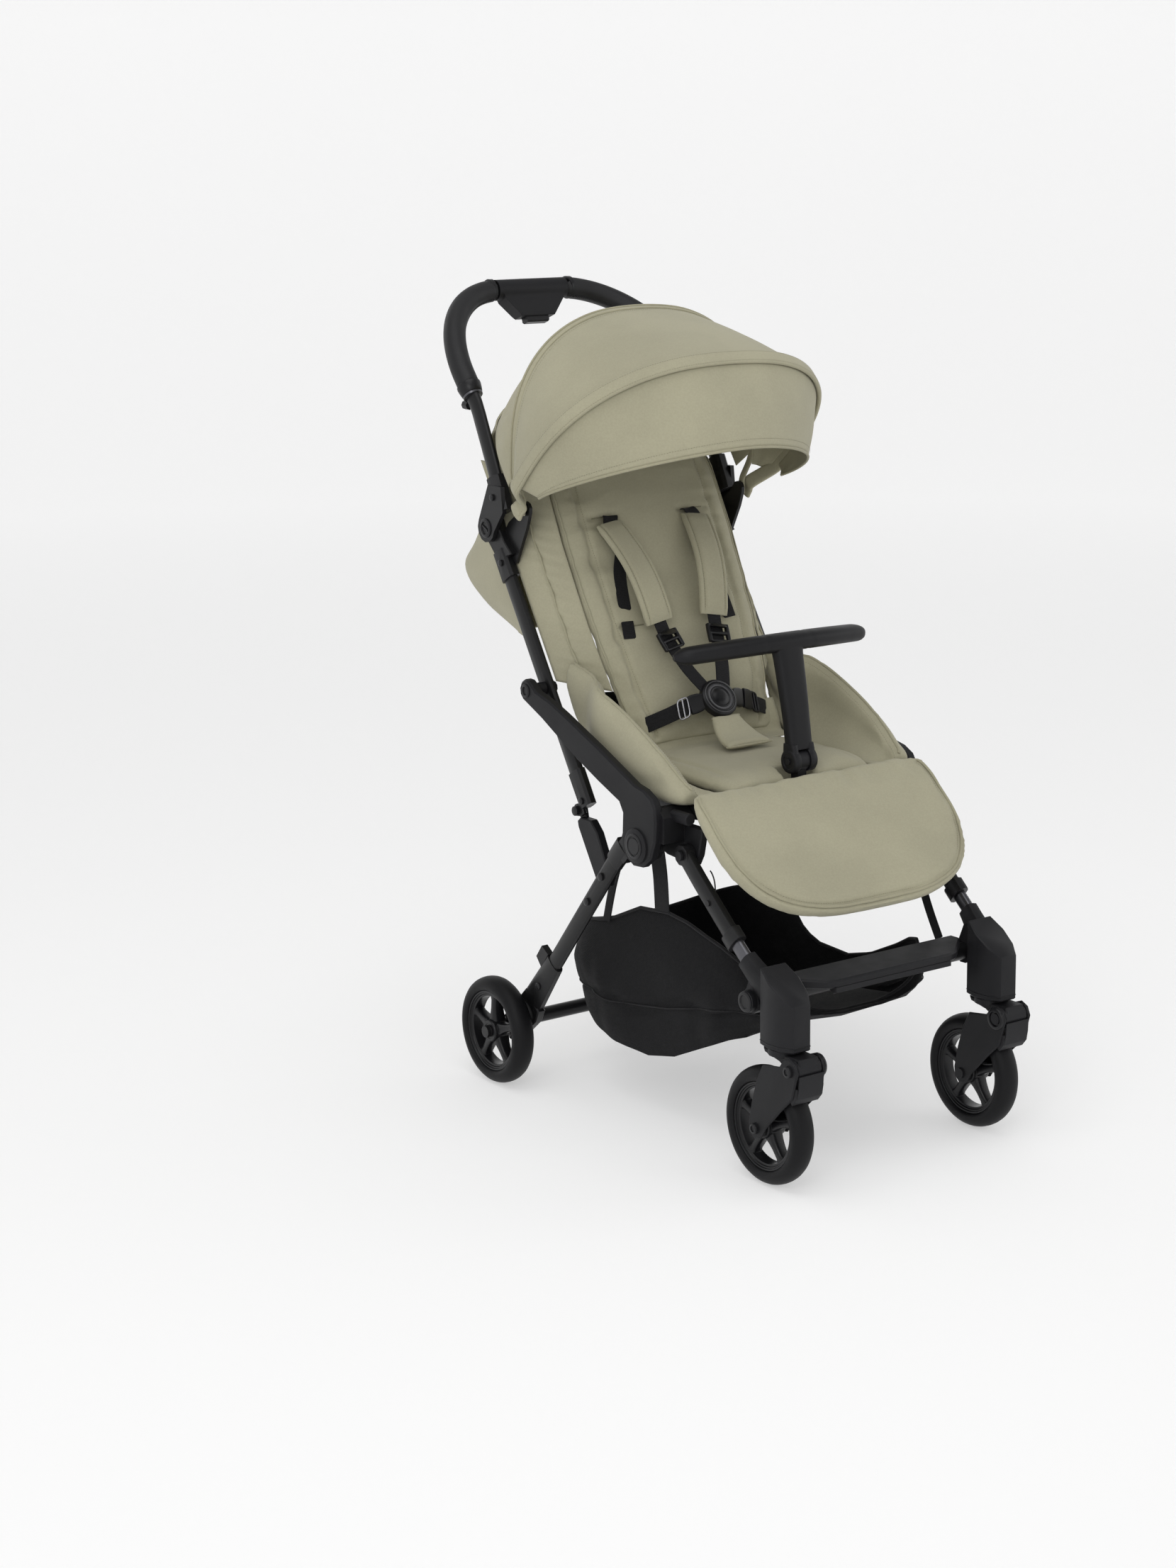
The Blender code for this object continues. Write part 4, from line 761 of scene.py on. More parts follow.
# %% Grip wraps
grip_path = [
    Vector((-HANDLE_X, handle_y(z), z)) for z in (BEND_Z + 0.0290, BEND_Z + 0.0310, BEND_Z + 0.0340)
] + corner
grip_path = [p for p in grip_path if p.x < -0.0665] + [
    Vector((-0.0660, *bar_point(0.97).yz)), Vector((-0.0645, *bar_point(0.98).yz))
]
grip_path = [Vector(p) for p in spline(grip_path, 72)]
size = len(grip_path)
swell = [GRIP_R * min(1.0, 0.80 + 0.20 * math.sqrt(min(i, size - 1 - i) / 2.5)) for i in range(size)]
pair("grip_wrap", skin(bar_rings(grip_path, swell, swell, 40)), LEATHERETTE, "handle", ["grip_L"])

# %% [markdown]
# On the inner side the wrap's two edges are laced together. Short crossed cords follow the seam,
# and one thin cord closes it.

# %% Lacing
def laced(path, radius):
    """Cross lacing over the seam on the inner side of the grip."""
    inside = []
    for i, p in enumerate(path[2:-2]):
        along = (path[i + 3] - path[i + 1]).normalized()
        normal = (BAR_PLANE - along * along.dot(BAR_PLANE)).normalized()
        across = along.cross(normal).normalized()
        middle = Vector((0, handle_y(0.95), 0.93))
        way = (middle - p).normalized()
        way = (way - along * along.dot(way)).normalized()
        inside.append((p + way * radius, way, along.cross(way)))
    parts = []
    for k in range(len(inside) - 2):
        (a, out, turn), (b, _, turn_b) = inside[k], inside[k + 1]
        for sign in (-1, 1):
            parts.append(
                cord_of(
                    [
                        a + turn * 0.0026 * sign - out * 0.0003, a.lerp(b, 0.5) + out * 0.0004,
                        b - turn_b * 0.0026 * sign - out * 0.0003
                    ],
                    0.00045, 5
                )
            )
    parts.append(cord_of([p - out * 0.0002 for p, out, turn in inside], 0.0006, 6))
    return together(*parts)


pair("grip_lacing", laced(grip_path, GRIP_R), SATIN, "handle")

# %% [markdown]
# A flared moulded collar ends each wrap below, with a thin bright edge, and a plain rim ends it at
# the centre housing. They are turned about the bar's own direction there.

# %% Collars
low_end = grip_path[0]
low_way = (grip_path[1] - grip_path[0]).normalized()
flare = [
    (-0.0140, 0.0124), (-0.0120, 0.0142), (-0.0050, 0.0156), (-0.0010, 0.0162), (0.0012, 0.0160),
    (0.0020, 0.0130)
]
pair("grip_collar", turned(flare, low_end, low_way, 48), SATIN, "handle")
glint = [(-0.0166, 0.0118), (-0.0166, 0.0130), (-0.0142, 0.0136), (-0.0134, 0.0128)]
pair("grip_ring", turned(glint, low_end, low_way, 48), ANODISED, "handle")
end_rim = [(-0.0030, 0.0140), (-0.0026, 0.0154), (0.0032, 0.0156), (0.0040, 0.0140)]
end_way = (grip_path[-1] - grip_path[-2]).normalized()
pair("grip_end", turned(end_rim, grip_path[-1], end_way, 48), SATIN, "handle")

# %% [markdown]
# ## Bumper bar
#
# A moulded T across the seat, which a child leans on: a thick crosswise grip with two fine seams, and a
# flattened post down to a hinge between two round cheeks. A capsule would end too bluntly, so the grip
# is a sweep whose size follows a curve and closes with rounded ends.

# %% The T bar and its post
bar_mid = (-0.146, 0.6160)
bar_line = [
    Vector((0.1500 * s, bar_mid[0] + 0.030 * s * s, bar_mid[1] - 0.008 * s * s))
    for s in np.linspace(-1, 1, 65)
]


def bumper_size(s):
    """The grip's fullness from -1 at one end to 1 at the other, with round ends."""
    end = max(0.0, (abs(s) - 0.86) / 0.14)
    return (1.04 - 0.09 * s * s) * math.sqrt(max(0.12, 1 - end * end))


scale = [bumper_size(s) for s in np.linspace(-1, 1, 65)]
seams = [1 - 0.05 * math.exp(-((abs(p.x) - 0.032) / 0.0012) ** 2) for p in bar_line]
bar_mesh = sweep(
    bar_line, [0.0155 * k * m for k, m in zip(scale, seams)],
    [0.0112 * k * m for k, m in zip(scale, seams)], 40, 2.4, Y
)

# %% [markdown]
# The post rises from the seat's front edge and widens into the bar. Its size is given at five
# stations and filled in between.

# %% The post
post_line = [
    Vector(p)
    for p in spline(
        [(0, -0.1745, 0.4850), (0, -0.1730, 0.5000), (0, -0.1640, 0.5500), (0, -0.1500, 0.6120)], 28
    )
]
post_a = [
    float(v)
    for v in np.interp(
        np.linspace(0, 1, 28), (0, 0.1, 0.5, 0.9, 1.0), (0.0172, 0.0176, 0.0180, 0.0204, 0.0220)
    )
]
post_b = [
    float(v)
    for v in np.interp(
        np.linspace(0, 1, 28), (0, 0.1, 0.5, 0.9, 1.0), (0.0096, 0.0100, 0.0096, 0.0102, 0.0112)
    )
]
post_mesh = sweep(post_line, post_a, post_b, 40, 3.4)

# %% [markdown]
# Two round cheeks clasp the mount, each with a stepped face as moulded covers have.

# %% Hinge cheeks
cheek_parts = []
for side in (-1, 1):
    profile = [
        (side * 0.0076, 0.0040), (side * 0.0076, 0.0147), (side * 0.0086, 0.0152),
        (side * 0.0168, 0.0152), (side * 0.0180, 0.0142), (side * 0.0184, 0.0120),
        (side * 0.0184, 0.0096), (side * 0.0174, 0.0092), (side * 0.0174, 0.0030)
    ]
    cheek_parts.append(turned(profile, at(BUMPER_PIVOT), count=56))
    rows = [
        oval(Vector((side * 0.0130, y, z)), X, Y, 0.0050, w, 20, 4.0)
        for y, z, w in ((-0.1755, 0.4760, 0.0120), (-0.1750, 0.4860, 0.0112), (-0.1742, 0.4925, 0.0100))
    ]
    cheek_parts.append(skin(rows))
piece("bumper_grip", together(bar_mesh, post_mesh, *cheek_parts), NYLON, "bumper", ["bumper_bar"], angle=45)

# %% [markdown]
# ## Soft goods: tools
#
# A sewn pad is two pieces of cloth with filling between them. It bulges between its seams and can't
# stretch. Scaling or smoothing a box would round it evenly, but cloth gives the fuller middle and the
# tight edge. So a pad is remeshed evenly and blown up by cloth simulation, with a cap on how far it may
# swell. Its seams and sewn channels are pressed in afterwards.

# %% Blowing up a pad
def arrays(mesh):
    """A mesh's places and normals as arrays."""
    places = np.empty(len(mesh.vertices) * 3, np.float32)
    normals = np.empty(len(mesh.vertices) * 3, np.float32)
    mesh.vertices.foreach_get("co", places)
    mesh.vertex_normals.foreach_get("vector", normals)
    return places.reshape(-1, 3).astype(float), normals.reshape(-1, 3).astype(float)


def settle(mesh, places):
    """Moves a mesh's vertices to the places."""
    mesh.vertices.foreach_set("co", np.asarray(places, np.float32).ravel())
    mesh.update()


def applied(holder):
    """The holder's mesh with its modifiers applied, and the holder left bare."""
    made = bpy.data.meshes.new_from_object(holder.evaluated_get(bpy.context.evaluated_depsgraph_get()))
    holder.modifiers.clear()
    holder.data = made
    return made


PUFF_STEPS = 20


def puffed(mesh, voxel=0.005, pressure=4.0, most=0.006, fine=1):
    """A pad blown up by at most the distance most, then made finer."""
    holder = bpy.data.objects.new("pad being sewn", mesh)
    bpy.context.scene.collection.objects.link(holder)
    even = holder.modifiers.new("even", "REMESH")
    even.mode, even.voxel_size = "VOXEL", voxel
    mesh = applied(holder)
    start, _ = arrays(mesh)
    sim = holder.modifiers.new("cloth", "CLOTH")
    sim.settings.quality = 4
    sim.settings.mass = 0.25
    sim.settings.tension_stiffness = sim.settings.compression_stiffness = 18
    sim.settings.shear_stiffness = 8
    sim.settings.bending_stiffness = 0.4
    sim.settings.use_pressure = True
    sim.settings.uniform_pressure_force = pressure
    sim.settings.effector_weights.gravity = 0
    sim.collision_settings.use_collision = False
    sim.point_cache.frame_end = PUFF_STEPS
    for step in range(1, PUFF_STEPS + 1):
        bpy.context.scene.frame_set(step)
    mesh = applied(holder)
    moved, _ = arrays(mesh)
    shift = moved - start
    far = np.linalg.norm(shift, axis=1)
    settle(mesh, start + shift * np.minimum(1.0, most / np.maximum(far, 1e-9))[:, None])
    bpy.context.scene.frame_set(1)
    if fine:
        smooth = holder.modifiers.new("smooth", "SUBSURF")
        smooth.levels = smooth.render_levels = fine
        mesh = applied(holder)
    bpy.data.objects.remove(holder)
    return mesh

# %% [markdown]
# Sewing pulls the cover down to the backing along a seam. Moving the vertices near a line inwards
# gives that groove on any pad. Wrinkles are noise along the normals, and whatever is sewn to a pad
# is first laid on its surface.

# %% Channels, wrinkles and lying on a surface
def pressed(mesh, line, depth, width):
    """A sewn channel along the line: the cloth sinks by depth at the line, over about the width."""
    places, normals = arrays(mesh)
    marks = np.array([list(p) for p in line], float)
    near = np.full(len(places), 1e9)
    for a, b in zip(marks, marks[1:]):
        along = b - a
        f = np.clip((places - a) @ along / max(along @ along, 1e-12), 0, 1)
        near = np.minimum(near, np.linalg.norm(places - (a + f[:, None] * along), axis=1))
    settle(mesh, places - normals * (depth * np.exp(-((near / width) ** 2)))[:, None])
    return mesh


def rumpled(mesh, amount, scale, stretch=(1, 1, 1), mask=None, seed=0.0):
    """Soft wrinkles: a noise along the normals, drawn out where stretch is small, within the mask."""
    places, normals = arrays(mesh)
    moved = np.array(
        [
            noise.noise(
                Vector(
                    (
                        p[0] * stretch[0] * scale + seed, p[1] * stretch[1] * scale,
                        p[2] * stretch[2] * scale
                    )
                )
            )
            for p in places
        ]
    )
    moved = np.minimum(moved, 0.25) * amount
    if mask is not None:
        moved *= np.array([mask(p) for p in places])
    settle(mesh, places + normals * moved[:, None])
    return mesh


def onto(mesh, line, lift=0.0):
    """The line laid on the mesh's surface: each point goes to the nearest place on it."""
    bm = bmesh.new()
    bm.from_mesh(mesh)
    tree = BVHTree.FromBMesh(bm)
    bm.free()
    found, outwards = [], []
    for p in line:
        place, normal, _, _ = tree.find_nearest(Vector(p))
        found.append(place + normal * lift)
        outwards.append(normal)
    return found, outwards


def grid_sheet(rows):
    """An open sheet over rows of points."""
    return skin(rows, round_rows=False)


# %% [markdown]
# ## Canopy
#
# Three cloth panels between four curves on one pivot line: a rear section, a front section and the
# visor. A wide bound band covers the front bow, and piping marks the middle one. The cloth could be
# simulated as pinned at its bows, but a real canopy is cut to shape and stands taut, so its surface is
# drawn from bow to bow with the belly and ripples that the photograph shows.

# %% Bows
def bow(half, rise, exponent, tilt, lift, t):
    """A place on a canopy bow, from t = 0 at its left foot to 1 at its right."""
    first = math.asin(lift / rise)
    a = -first + t * (math.pi + 2 * first)
    height = max(lift + rise * power(math.sin(a), 2 / exponent), 0.0)
    x = -half * power(math.cos(a), 2 / exponent)
    angle = math.radians(tilt)
    return Vector((x, CANOPY[0] - height * math.sin(angle), CANOPY[1] + height * math.cos(angle)))


REAR_BOW = (0.1860, 0.130, 2.6, -36.0, 0.050)
MID_BOW = (0.1930, 0.175, 2.406, 2.7, 0.076)
FRONT_BOW = (0.2150, 0.191, 2.405, 45.7, 0.093)
VISOR_EDGE = (0.1980, 0.180, 1.70, 70.2, 0.084)
CANOPY_MIDDLE = at(CANOPY)

# %% [markdown]
# Each panel is one continuous sheet between two bows. It bellies out between them, and it ripples
# most near its feet, where the cloth is gathered.

# %% Canopy cloth
def outward(p):
    """The way out of the canopy at a place."""
    out = p - CANOPY_MIDDLE
    out.x *= 0.8
    return out.normalized()


def bow_places(first_t, count):
    """Places along a bow, closer together where it turns."""
    return [
        first_t + (1 - 2 * first_t) * (s - 0.06 * math.sin(2 * math.pi * s))
        for s in np.linspace(0, 1, count)
    ]


def canopy_sheet(first_bow, last_bow, start, end, across, count, puff, first_t, ripple, seed):
    """Cloth from one bow to the next, start and end metres short of their middles, with ripples."""
    rows = []
    for t in bow_places(first_t, count):
        a, b = bow(*first_bow, t), bow(*last_bow, t)
        length = (b - a).length
        low, high = start / length, 1 - end / length
        row = []
        for i in range(across):
            f = i / (across - 1)
            p = a.lerp(b, low + (high - low) * f)
            out = outward(p)
            side = min(1.0, abs(t - 0.5) / 0.38) ** 2
            lift = puff * math.sin(math.pi * f) * min(1.0, length / 0.12)
            folds = noise.noise(
                Vector((t * 17 + seed, f * 1.6, seed))
            ) + 0.5 * noise.noise(Vector((t * 41, f * 2.6 + seed, 3.0)))
            lift += ripple * folds * (0.35 + 1.3 * side) * math.sin(
                math.pi * min(1.0, f * 1.15 + 0.04)
            ) ** 0.7
            row.append(p + out * lift)
        rows.append(row)
    return grid_sheet(rows)

# %% [markdown]
# The bows turn on one pivot line. Each sheet is left where it lies, on no body.

# %% Rear panel, front panel and visor
rear_panel = piece(
    "canopy_rear_cloth", canopy_sheet(REAR_BOW, MID_BOW, 0.0, 0.0030, 30, 121, 0.003, 0.085, 0.0016, 2.0),
    SAGE_TAUT, "back_frame", ["canopy_rear_panel"], thickness=CLOTH_THICK,
    bend=("canopy_mid", settled(0.232, 0.905), settled(0.165, 0.935))
)
front_panel = piece(
    "canopy_front_cloth",
    canopy_sheet(MID_BOW, FRONT_BOW, 0.0030, 0.0060, 34, 121, 0.004, 0.065, 0.0015, 5.0), SAGE_TAUT,
    "canopy_mid", ["canopy_front_panel"], thickness=CLOTH_THICK,
    bend=("canopy_front", settled(0.150, 0.950), settled(0.000, 0.930))
)
visor_cloth = piece(
    "canopy_visor_cloth",
    canopy_sheet(FRONT_BOW, VISOR_EDGE, 0.0060, 0.0, 22, 121, 0.003, 0.085, 0.0012, 8.0), SAGE_TAUT,
    "canopy_front", ["visor"], thickness=CLOTH_THICK,
    bend=("visor_body", settled(-0.020, 0.915), settled(-0.050, 0.870))
)

# %% [markdown]
# The bows themselves are sewn into sleeves. The front one is broad, with a row of stitches along each
# edge, and the middle one narrow with a welt beside it.

# %% Bound bands, piping and hems
def band(shape, width, thick, hinge_x, count=160, flare=0.0):
    """The bound cloth sleeve over a bow, from pivot to pivot."""
    angle = math.radians(shape[3])
    along = Vector((0, math.cos(angle), math.sin(angle)))
    rise = Vector((0, -math.sin(angle), math.cos(angle)))
    foot = Vector((-hinge_x, *CANOPY))
    left = [foot - rise * 0.0080, foot - rise * 0.0030, foot + rise * 0.0040, foot + rise * 0.0150]
    right = [Vector((-p.x, p.y, p.z)) for p in reversed(left)]
    line = spline([*left, *[bow(*shape, t) for t in bow_places(0.075, 21)], *right], count)
    line = [Vector(p) for p in line]
    rows, outs = [], []
    for i, p in enumerate(line):
        way = (line[min(i + 1, count - 1)] - line[max(i - 1, 0)]).normalized()
        out = way.cross(along).normalized()
        edge = min(i, count - 1 - i) / (count - 1)
        w = width + flare * math.exp(-((edge / 0.07) ** 2))
        tip = min(1.0, edge / 0.024)
        w *= max(0.22, math.sqrt(1 - (1 - tip) ** 2))
        rows.append(oval(p, along, out, w, thick, 28, 3.0))
        outs.append((p, along, out, w))
    return skin(rows), outs


front_band, band_line = band(FRONT_BOW, 0.0098, 0.0034, 0.1862, flare=0.0036)
piece("canopy_front_band", front_band, SAGE, "canopy_front", ["front_bow"])
for sign, label in ((1, "rear"), (-1, "front")):
    line = [p + along * (w - 0.0026) * sign + out * 0.0031 for p, along, out, w in band_line[8:-8]]
    outs = [out for p, along, out, w in band_line[8:-8]]
    piece("canopy_band_stitches_" + label, stitches(line, outs), THREAD, "canopy_front")
mid_band, mid_line = band(MID_BOW, 0.0052, 0.0022, 0.1790)
piece("canopy_middle_band", mid_band, SAGE, "canopy_mid", ["mid_bow"])
welt = [p + out * 0.0026 + along * 0.0030 for p, along, out, w in mid_line[10:-10]]
piece("canopy_middle_piping", cord_of(welt, PIPING_R), PIPING, "canopy_mid")
hem = [bow(*VISOR_EDGE, t) for t in bow_places(0.085, 121)]
visor_hem = piece("canopy_visor_hem", cord_of(hem, 0.0019), PIPING, "visor_body")
hem_line = [bow(*VISOR_EDGE, t).lerp(bow(*FRONT_BOW, t), 0.09) for t in bow_places(0.090, 121)]
piece(
    "canopy_visor_stitches",
    stitches([p + outward(p) * 0.0016 for p in hem_line], [outward(p) for p in hem_line]), THREAD,
    "visor_body"
)
ahead = [
    bow(*MID_BOW, t).lerp(
        bow(*FRONT_BOW, t), 0.012 / max(0.02, (bow(*MID_BOW, t) - bow(*FRONT_BOW, t)).length)
    )
    for t in bow_places(0.12, 121)
]
piece(
    "canopy_middle_stitches",
    stitches([p + outward(p) * 0.0016 for p in ahead], [outward(p) for p in ahead]), THREAD, "canopy_mid"
)

# %% [markdown]
# ## Rear flap
#
# The cloth shell behind the back pad. It hangs from the canopy's rear edge, runs down to a bulging
# lower corner, and is drawn in to the frame tubes at both sides. It is laid line by line from the edge
# to the hem, because a flat sheet hung by simulation would miss the cut that gives the bulge.

# %% The shell behind the back
FLAP = [
    (0.3040, 0.8300), (0.3180, 0.7600), (0.3600, 0.7000), (0.3920, 0.6600), (0.3450, 0.6200),
    (0.2600, 0.5900)
]


def tube_y(z):
    """How far back the back tube lies at a height."""
    return 0.024 + 0.6246 * (z - 0.393)


def flap_column(t):
    """One line down the shell, from the canopy's edge to the hem."""
    edge = bow(*REAR_BOW, t)
    way = (edge - bow(*MID_BOW, t)).normalized()
    turn = min(1.0, max(0.0, (abs(t - 0.5) - 0.17) / 0.115))
    turn = turn * turn * (3 - 2 * turn)
    column = [edge + way * 0.0010, edge + way * 0.0060]
    for row, (y, z) in enumerate(FLAP):
        line = tube_y(z) + 0.012 if z < 0.74 else 0.248 + 0.20 * (z - 0.74)
        x = max(-0.1680, min(0.1680, edge.x * (0.97 if row == 0 else 0.945 + 0.05 * turn)))
        column.append(Vector((x, y + (line - y) * turn, min(z, edge.z - 0.012 - 0.03 * (0.83 - z)))))
    return [Vector(p) for p in spline(column, 56)]


flap_rows = []
for t in np.linspace(0.215, 0.785, 91):
    row = []
    for k, p in enumerate(flap_column(t)):
        f = k / 55
        inside = min(1.0, (0.5 - abs(t - 0.5) - 0.215) / 0.03) * min(1.0, f / 0.12) * min(1.0, (1 - f) / 0.08)
        folds = noise.noise(Vector((t * 11, f * 5.0, 4.0))) + 0.5 * noise.noise(
            Vector((t * 30, f * 11.0, 9.0))
        )
        row.append(p + Vector((0, 0.0050 * folds * max(0.0, inside), 0.0)))
    flap_rows.append(row)
flap_cloth = piece(
    "rear_flap_cloth", grid_sheet(flap_rows), SAGE, "back_frame", ["rear_flap"], thickness=CLOTH_THICK
)
flap_hem = piece("rear_flap_hem", cord_of([row[-1] for row in flap_rows], 0.0018), PIPING, "back_frame")

# %% [markdown]
# ## Back pad, seat pad and bolsters
#
# The child sits on three kinds of padding: a tall quilted back, a flat seat with a cut for the bumper
# post, and a bolster at each side. Each starts as a closed skin in its sewn outline and is blown up.
# Channels, wrinkles, piping and stitches follow where the photograph shows them. One cushion mesh for
# all would be quicker, but it would lose the gaps between them, and the back could not recline.

# %% The back pad
BACK_SLOPE = math.atan(0.51)
BACK_UP = Vector((0, math.sin(BACK_SLOPE), math.cos(BACK_SLOPE)))
BACK_FRONT = Vector((0, -math.cos(BACK_SLOPE), math.sin(BACK_SLOPE)))


def back_point(distance, depth=0.0, x=0.0):
    """A place on the back pad, by its distance up the pad and its depth into it."""
    return Vector((x, 0.0060, 0.4800)) + BACK_UP * distance - BACK_FRONT * depth


BACK_ROWS = [
    (-0.0110, 0.100, 0.010), (-0.002, 0.111, 0.018), (0.060, 0.124, 0.023), (0.160, 0.134, 0.025),
    (0.270, 0.138, 0.025), (0.360, 0.136, 0.023), (0.410, 0.126, 0.019), (0.426, 0.106, 0.014),
    (0.432, 0.090, 0.008)
]


def back_half(distance):
    """Half the pad's width at a distance up it."""
    return float(np.interp(distance, [r[0] for r in BACK_ROWS], [r[1] for r in BACK_ROWS]))


back_body = skin(
    [
        oval(back_point(d, 0.0015 + thick * 0.5), X, BACK_FRONT, half, thick * 0.5, 48, 4.0, 0.5)
        for d, half, thick in spline(BACK_ROWS, 40)
    ]
)
back_soft = puffed(back_body, most=0.0045)
for side in (-1, 1):
    pressed(
        back_soft, [back_point(d, 0.0, side * 0.76 * back_half(d)) for d in np.linspace(0.0, 0.420, 30)],
        0.0052, 0.0042
    )
    pressed(
        back_soft,
        [back_point(d, 0.003, side * 0.955 * back_half(d)) for d in np.linspace(0.0, 0.420, 30)], 0.0030,
        0.0032
    )
rumpled(
    back_soft, 0.0046, 26.0, (0.45, 1, 1.25),
    lambda p: math.exp(-((abs(p[0]) - 0.098) / 0.030) ** 2) + 0.35, 1.0
)
rumpled(back_soft, 0.0022, 70.0, (0.35, 1, 1.2), lambda p: math.exp(-((abs(p[0]) - 0.106) / 0.014) ** 2), 5.0)
for side in (-1, 1):
    for d in (0.300, 0.150):
        pressed(
            back_soft, [back_point(d, 0.0, side * 0.052), back_point(d, 0.0, side * 0.092)], 0.0042,
            0.0045
        )
slots = []
for side in (-1, 1):
    for d in (0.300, 0.150):
        line, _ = onto(
            back_soft, [back_point(d, 0.0, side * x) for x in np.linspace(0.056, 0.088, 12)], 0.0002
        )
        slots.append(cord_of(line, 0.0009, 8))
piece("back_slot_binding", together(*slots), THREAD, "backrest")
back_seams = []
for side in (-1, 1):
    line, outs = onto(
        back_soft,
        [back_point(d, 0.0, side * 0.735 * back_half(d)) for d in np.linspace(0.004, 0.414, 70)], 0.0004
    )
    back_seams.append(stitches(line, outs))
piece("back_seam_stitches", together(*back_seams), THREAD, "backrest")
edge_cords = []
for side in (-1, 1):
    line, _ = onto(
        back_soft,
        [back_point(d, 0.0022, side * 0.985 * back_half(d)) for d in np.linspace(0.000, 0.420, 60)], 0.0
    )
    edge_cords.append(cord_of([Vector(p) for p in spline(line, 90)], PIPING_R))
piece("back_edge_piping", together(*edge_cords), PIPING, "backrest")
back_cushion = piece("back_cushion", back_soft, SAGE, "backrest", ["back_pad"], angle=80)

# %% [markdown]
# The seat pad is a flat crowned cushion, cut out in front for the bumper's post. The cut is made
# before the pad is blown up, so that its sides round off as a sewn edge does.

# %% The seat pad
SEAT_ROWS = [
    (0.0020, 0.4530, 0.098, 0.0066), (-0.0060, 0.4512, 0.107, 0.0105), (-0.0400, 0.4500, 0.1235, 0.0130),
    (-0.0900, 0.4500, 0.1235, 0.0130), (-0.1350, 0.4500, 0.1235, 0.0130),
    (-0.1700, 0.4474, 0.117, 0.0110), (-0.1840, 0.4454, 0.111, 0.0065)
]
seat_body = skin(
    [
        oval(Vector((0, y, z)), X, Z, half, thick, 48, 3.6, 0.5)
        for y, z, half, thick in spline(SEAT_ROWS, 30)
    ]
)


def notched(mesh, low, high):
    """The mesh less a block, for the bumper's post."""
    holder = bpy.data.objects.new("pad", mesh)
    bpy.context.scene.collection.objects.link(holder)
    corners = [
        [
            Vector((x, y, z))
            for x, y in ((low[0], low[1]), (high[0], low[1]), (high[0], high[1]), (low[0], high[1]))
        ]
        for z in (low[2], high[2])
    ]
    block = bpy.data.objects.new("block", skin(corners))
    bpy.context.scene.collection.objects.link(block)
    cut = holder.modifiers.new("cut", "BOOLEAN")
    cut.operation, cut.solver, cut.object = "DIFFERENCE", "EXACT", block
    mesh = applied(holder)
    bpy.data.objects.remove(holder)
    bpy.data.objects.remove(block)
    return mesh


seat_soft = puffed(
    notched(seat_body, (-0.0235, -0.21, 0.42), (0.0235, -0.1535, 0.49)), voxel=0.0045, most=0.0028
)
rumpled(
    seat_soft, 0.0040, 30.0, (1.0, 0.55, 1), lambda p: math.exp(-((p[1] + 0.165) / 0.035) ** 2) + 0.25,
    3.0
)
for side in (-1, 1):
    pressed(
        seat_soft, [Vector((side * 0.100, y, 0.464)) for y in np.linspace(-0.17, 0.0, 12)], 0.0022, 0.0040
    )
seat_cushion = piece("seat_cushion", seat_soft, SAGE, "seat_frame", ["seat_pad"], angle=80)

# %% [markdown]
# A bolster walls in the seat at each side and rises towards the back, with piping on its crest.

# %% The side bolsters
def bolster_ring(y, crest, x_out, x_in, base):
    """A bolster's section: upright outside, round crest, long slope towards the seat."""
    width = x_out - x_in
    rise = crest - base
    ring = [
        (x_out - 0.0090, base), (x_out - 0.0020, base + 0.007), (x_out - 0.0012, base + rise * 0.45),
        (x_out - 0.0040, base + rise * 0.82), (x_out - 0.0100, crest - 0.001)
    ]
    ring += [
        (x_out - 0.0160, crest - 0.002), (x_out - 0.0225, base + rise * 0.80),
        (x_out - 0.0270, base + rise * 0.50), (x_in + width * 0.30, base + rise * 0.22 + 0.004),
        (x_in + 0.0010, base + 0.012), (x_in + 0.0020, base + 0.003), (x_in + width * 0.45, base)
    ]
    return [Vector((-x, y, z)) for x, z in ring]


BOLSTER_ROWS = [
    (-0.1780, 0.4540, 0.1775, 0.1300, 0.4410), (-0.1660, 0.4660, 0.1835, 0.1270, 0.4365),
    (-0.1200, 0.4990, 0.1880, 0.1270, 0.4365), (-0.0600, 0.5300, 0.1885, 0.1260, 0.4365),
    (0.0000, 0.5520, 0.1870, 0.1260, 0.4440)
]
BOLSTER_ROWS += [
    (0.0420, 0.5640, 0.1690, 0.1330, 0.4660), (0.0700, 0.5710, 0.1685, 0.1410, 0.5010),
    (0.0910, 0.5750, 0.1675, 0.1450, 0.5410)
]
bolster_spread = [[float(v) for v in row] for row in spline(BOLSTER_ROWS, 48)]
bolster_body = skin(
    [[Vector(p) for p in spline(bolster_ring(*row), 40, closed=True)] for row in bolster_spread]
)
bolster_soft = puffed(bolster_body, voxel=0.004, most=0.0022)
rumpled(
    bolster_soft, 0.0034, 34.0, (1, 0.7, 1), lambda p: math.exp(-((p[2] - 0.452) / 0.016) ** 2) + 0.2, 7.0
)
crest_line, _ = onto(
    bolster_soft, [Vector((-row[2] + 0.0125, row[0], row[1] + 0.004)) for row in bolster_spread[1:-1]],
    0.0
)
pressed(
    bolster_soft, [Vector((-row[2] + 0.0205, row[0], row[1] - 0.004)) for row in bolster_spread[1:-1]],
    0.0020, 0.0022
)
bolster_pipes = pair(
    "bolster_piping", cord_of([Vector(p) for p in spline(crest_line, 90)], 0.0020), PIPING, "seat_frame"
)
lower_line, lower_outs = onto(
    bolster_soft, [Vector((-row[2] + 0.0215, row[0], row[1] - 0.006)) for row in bolster_spread[1:-1]],
    0.0003
)
bolster_threads = pair("bolster_stitches", stitches(lower_line, lower_outs), THREAD, "seat_frame")
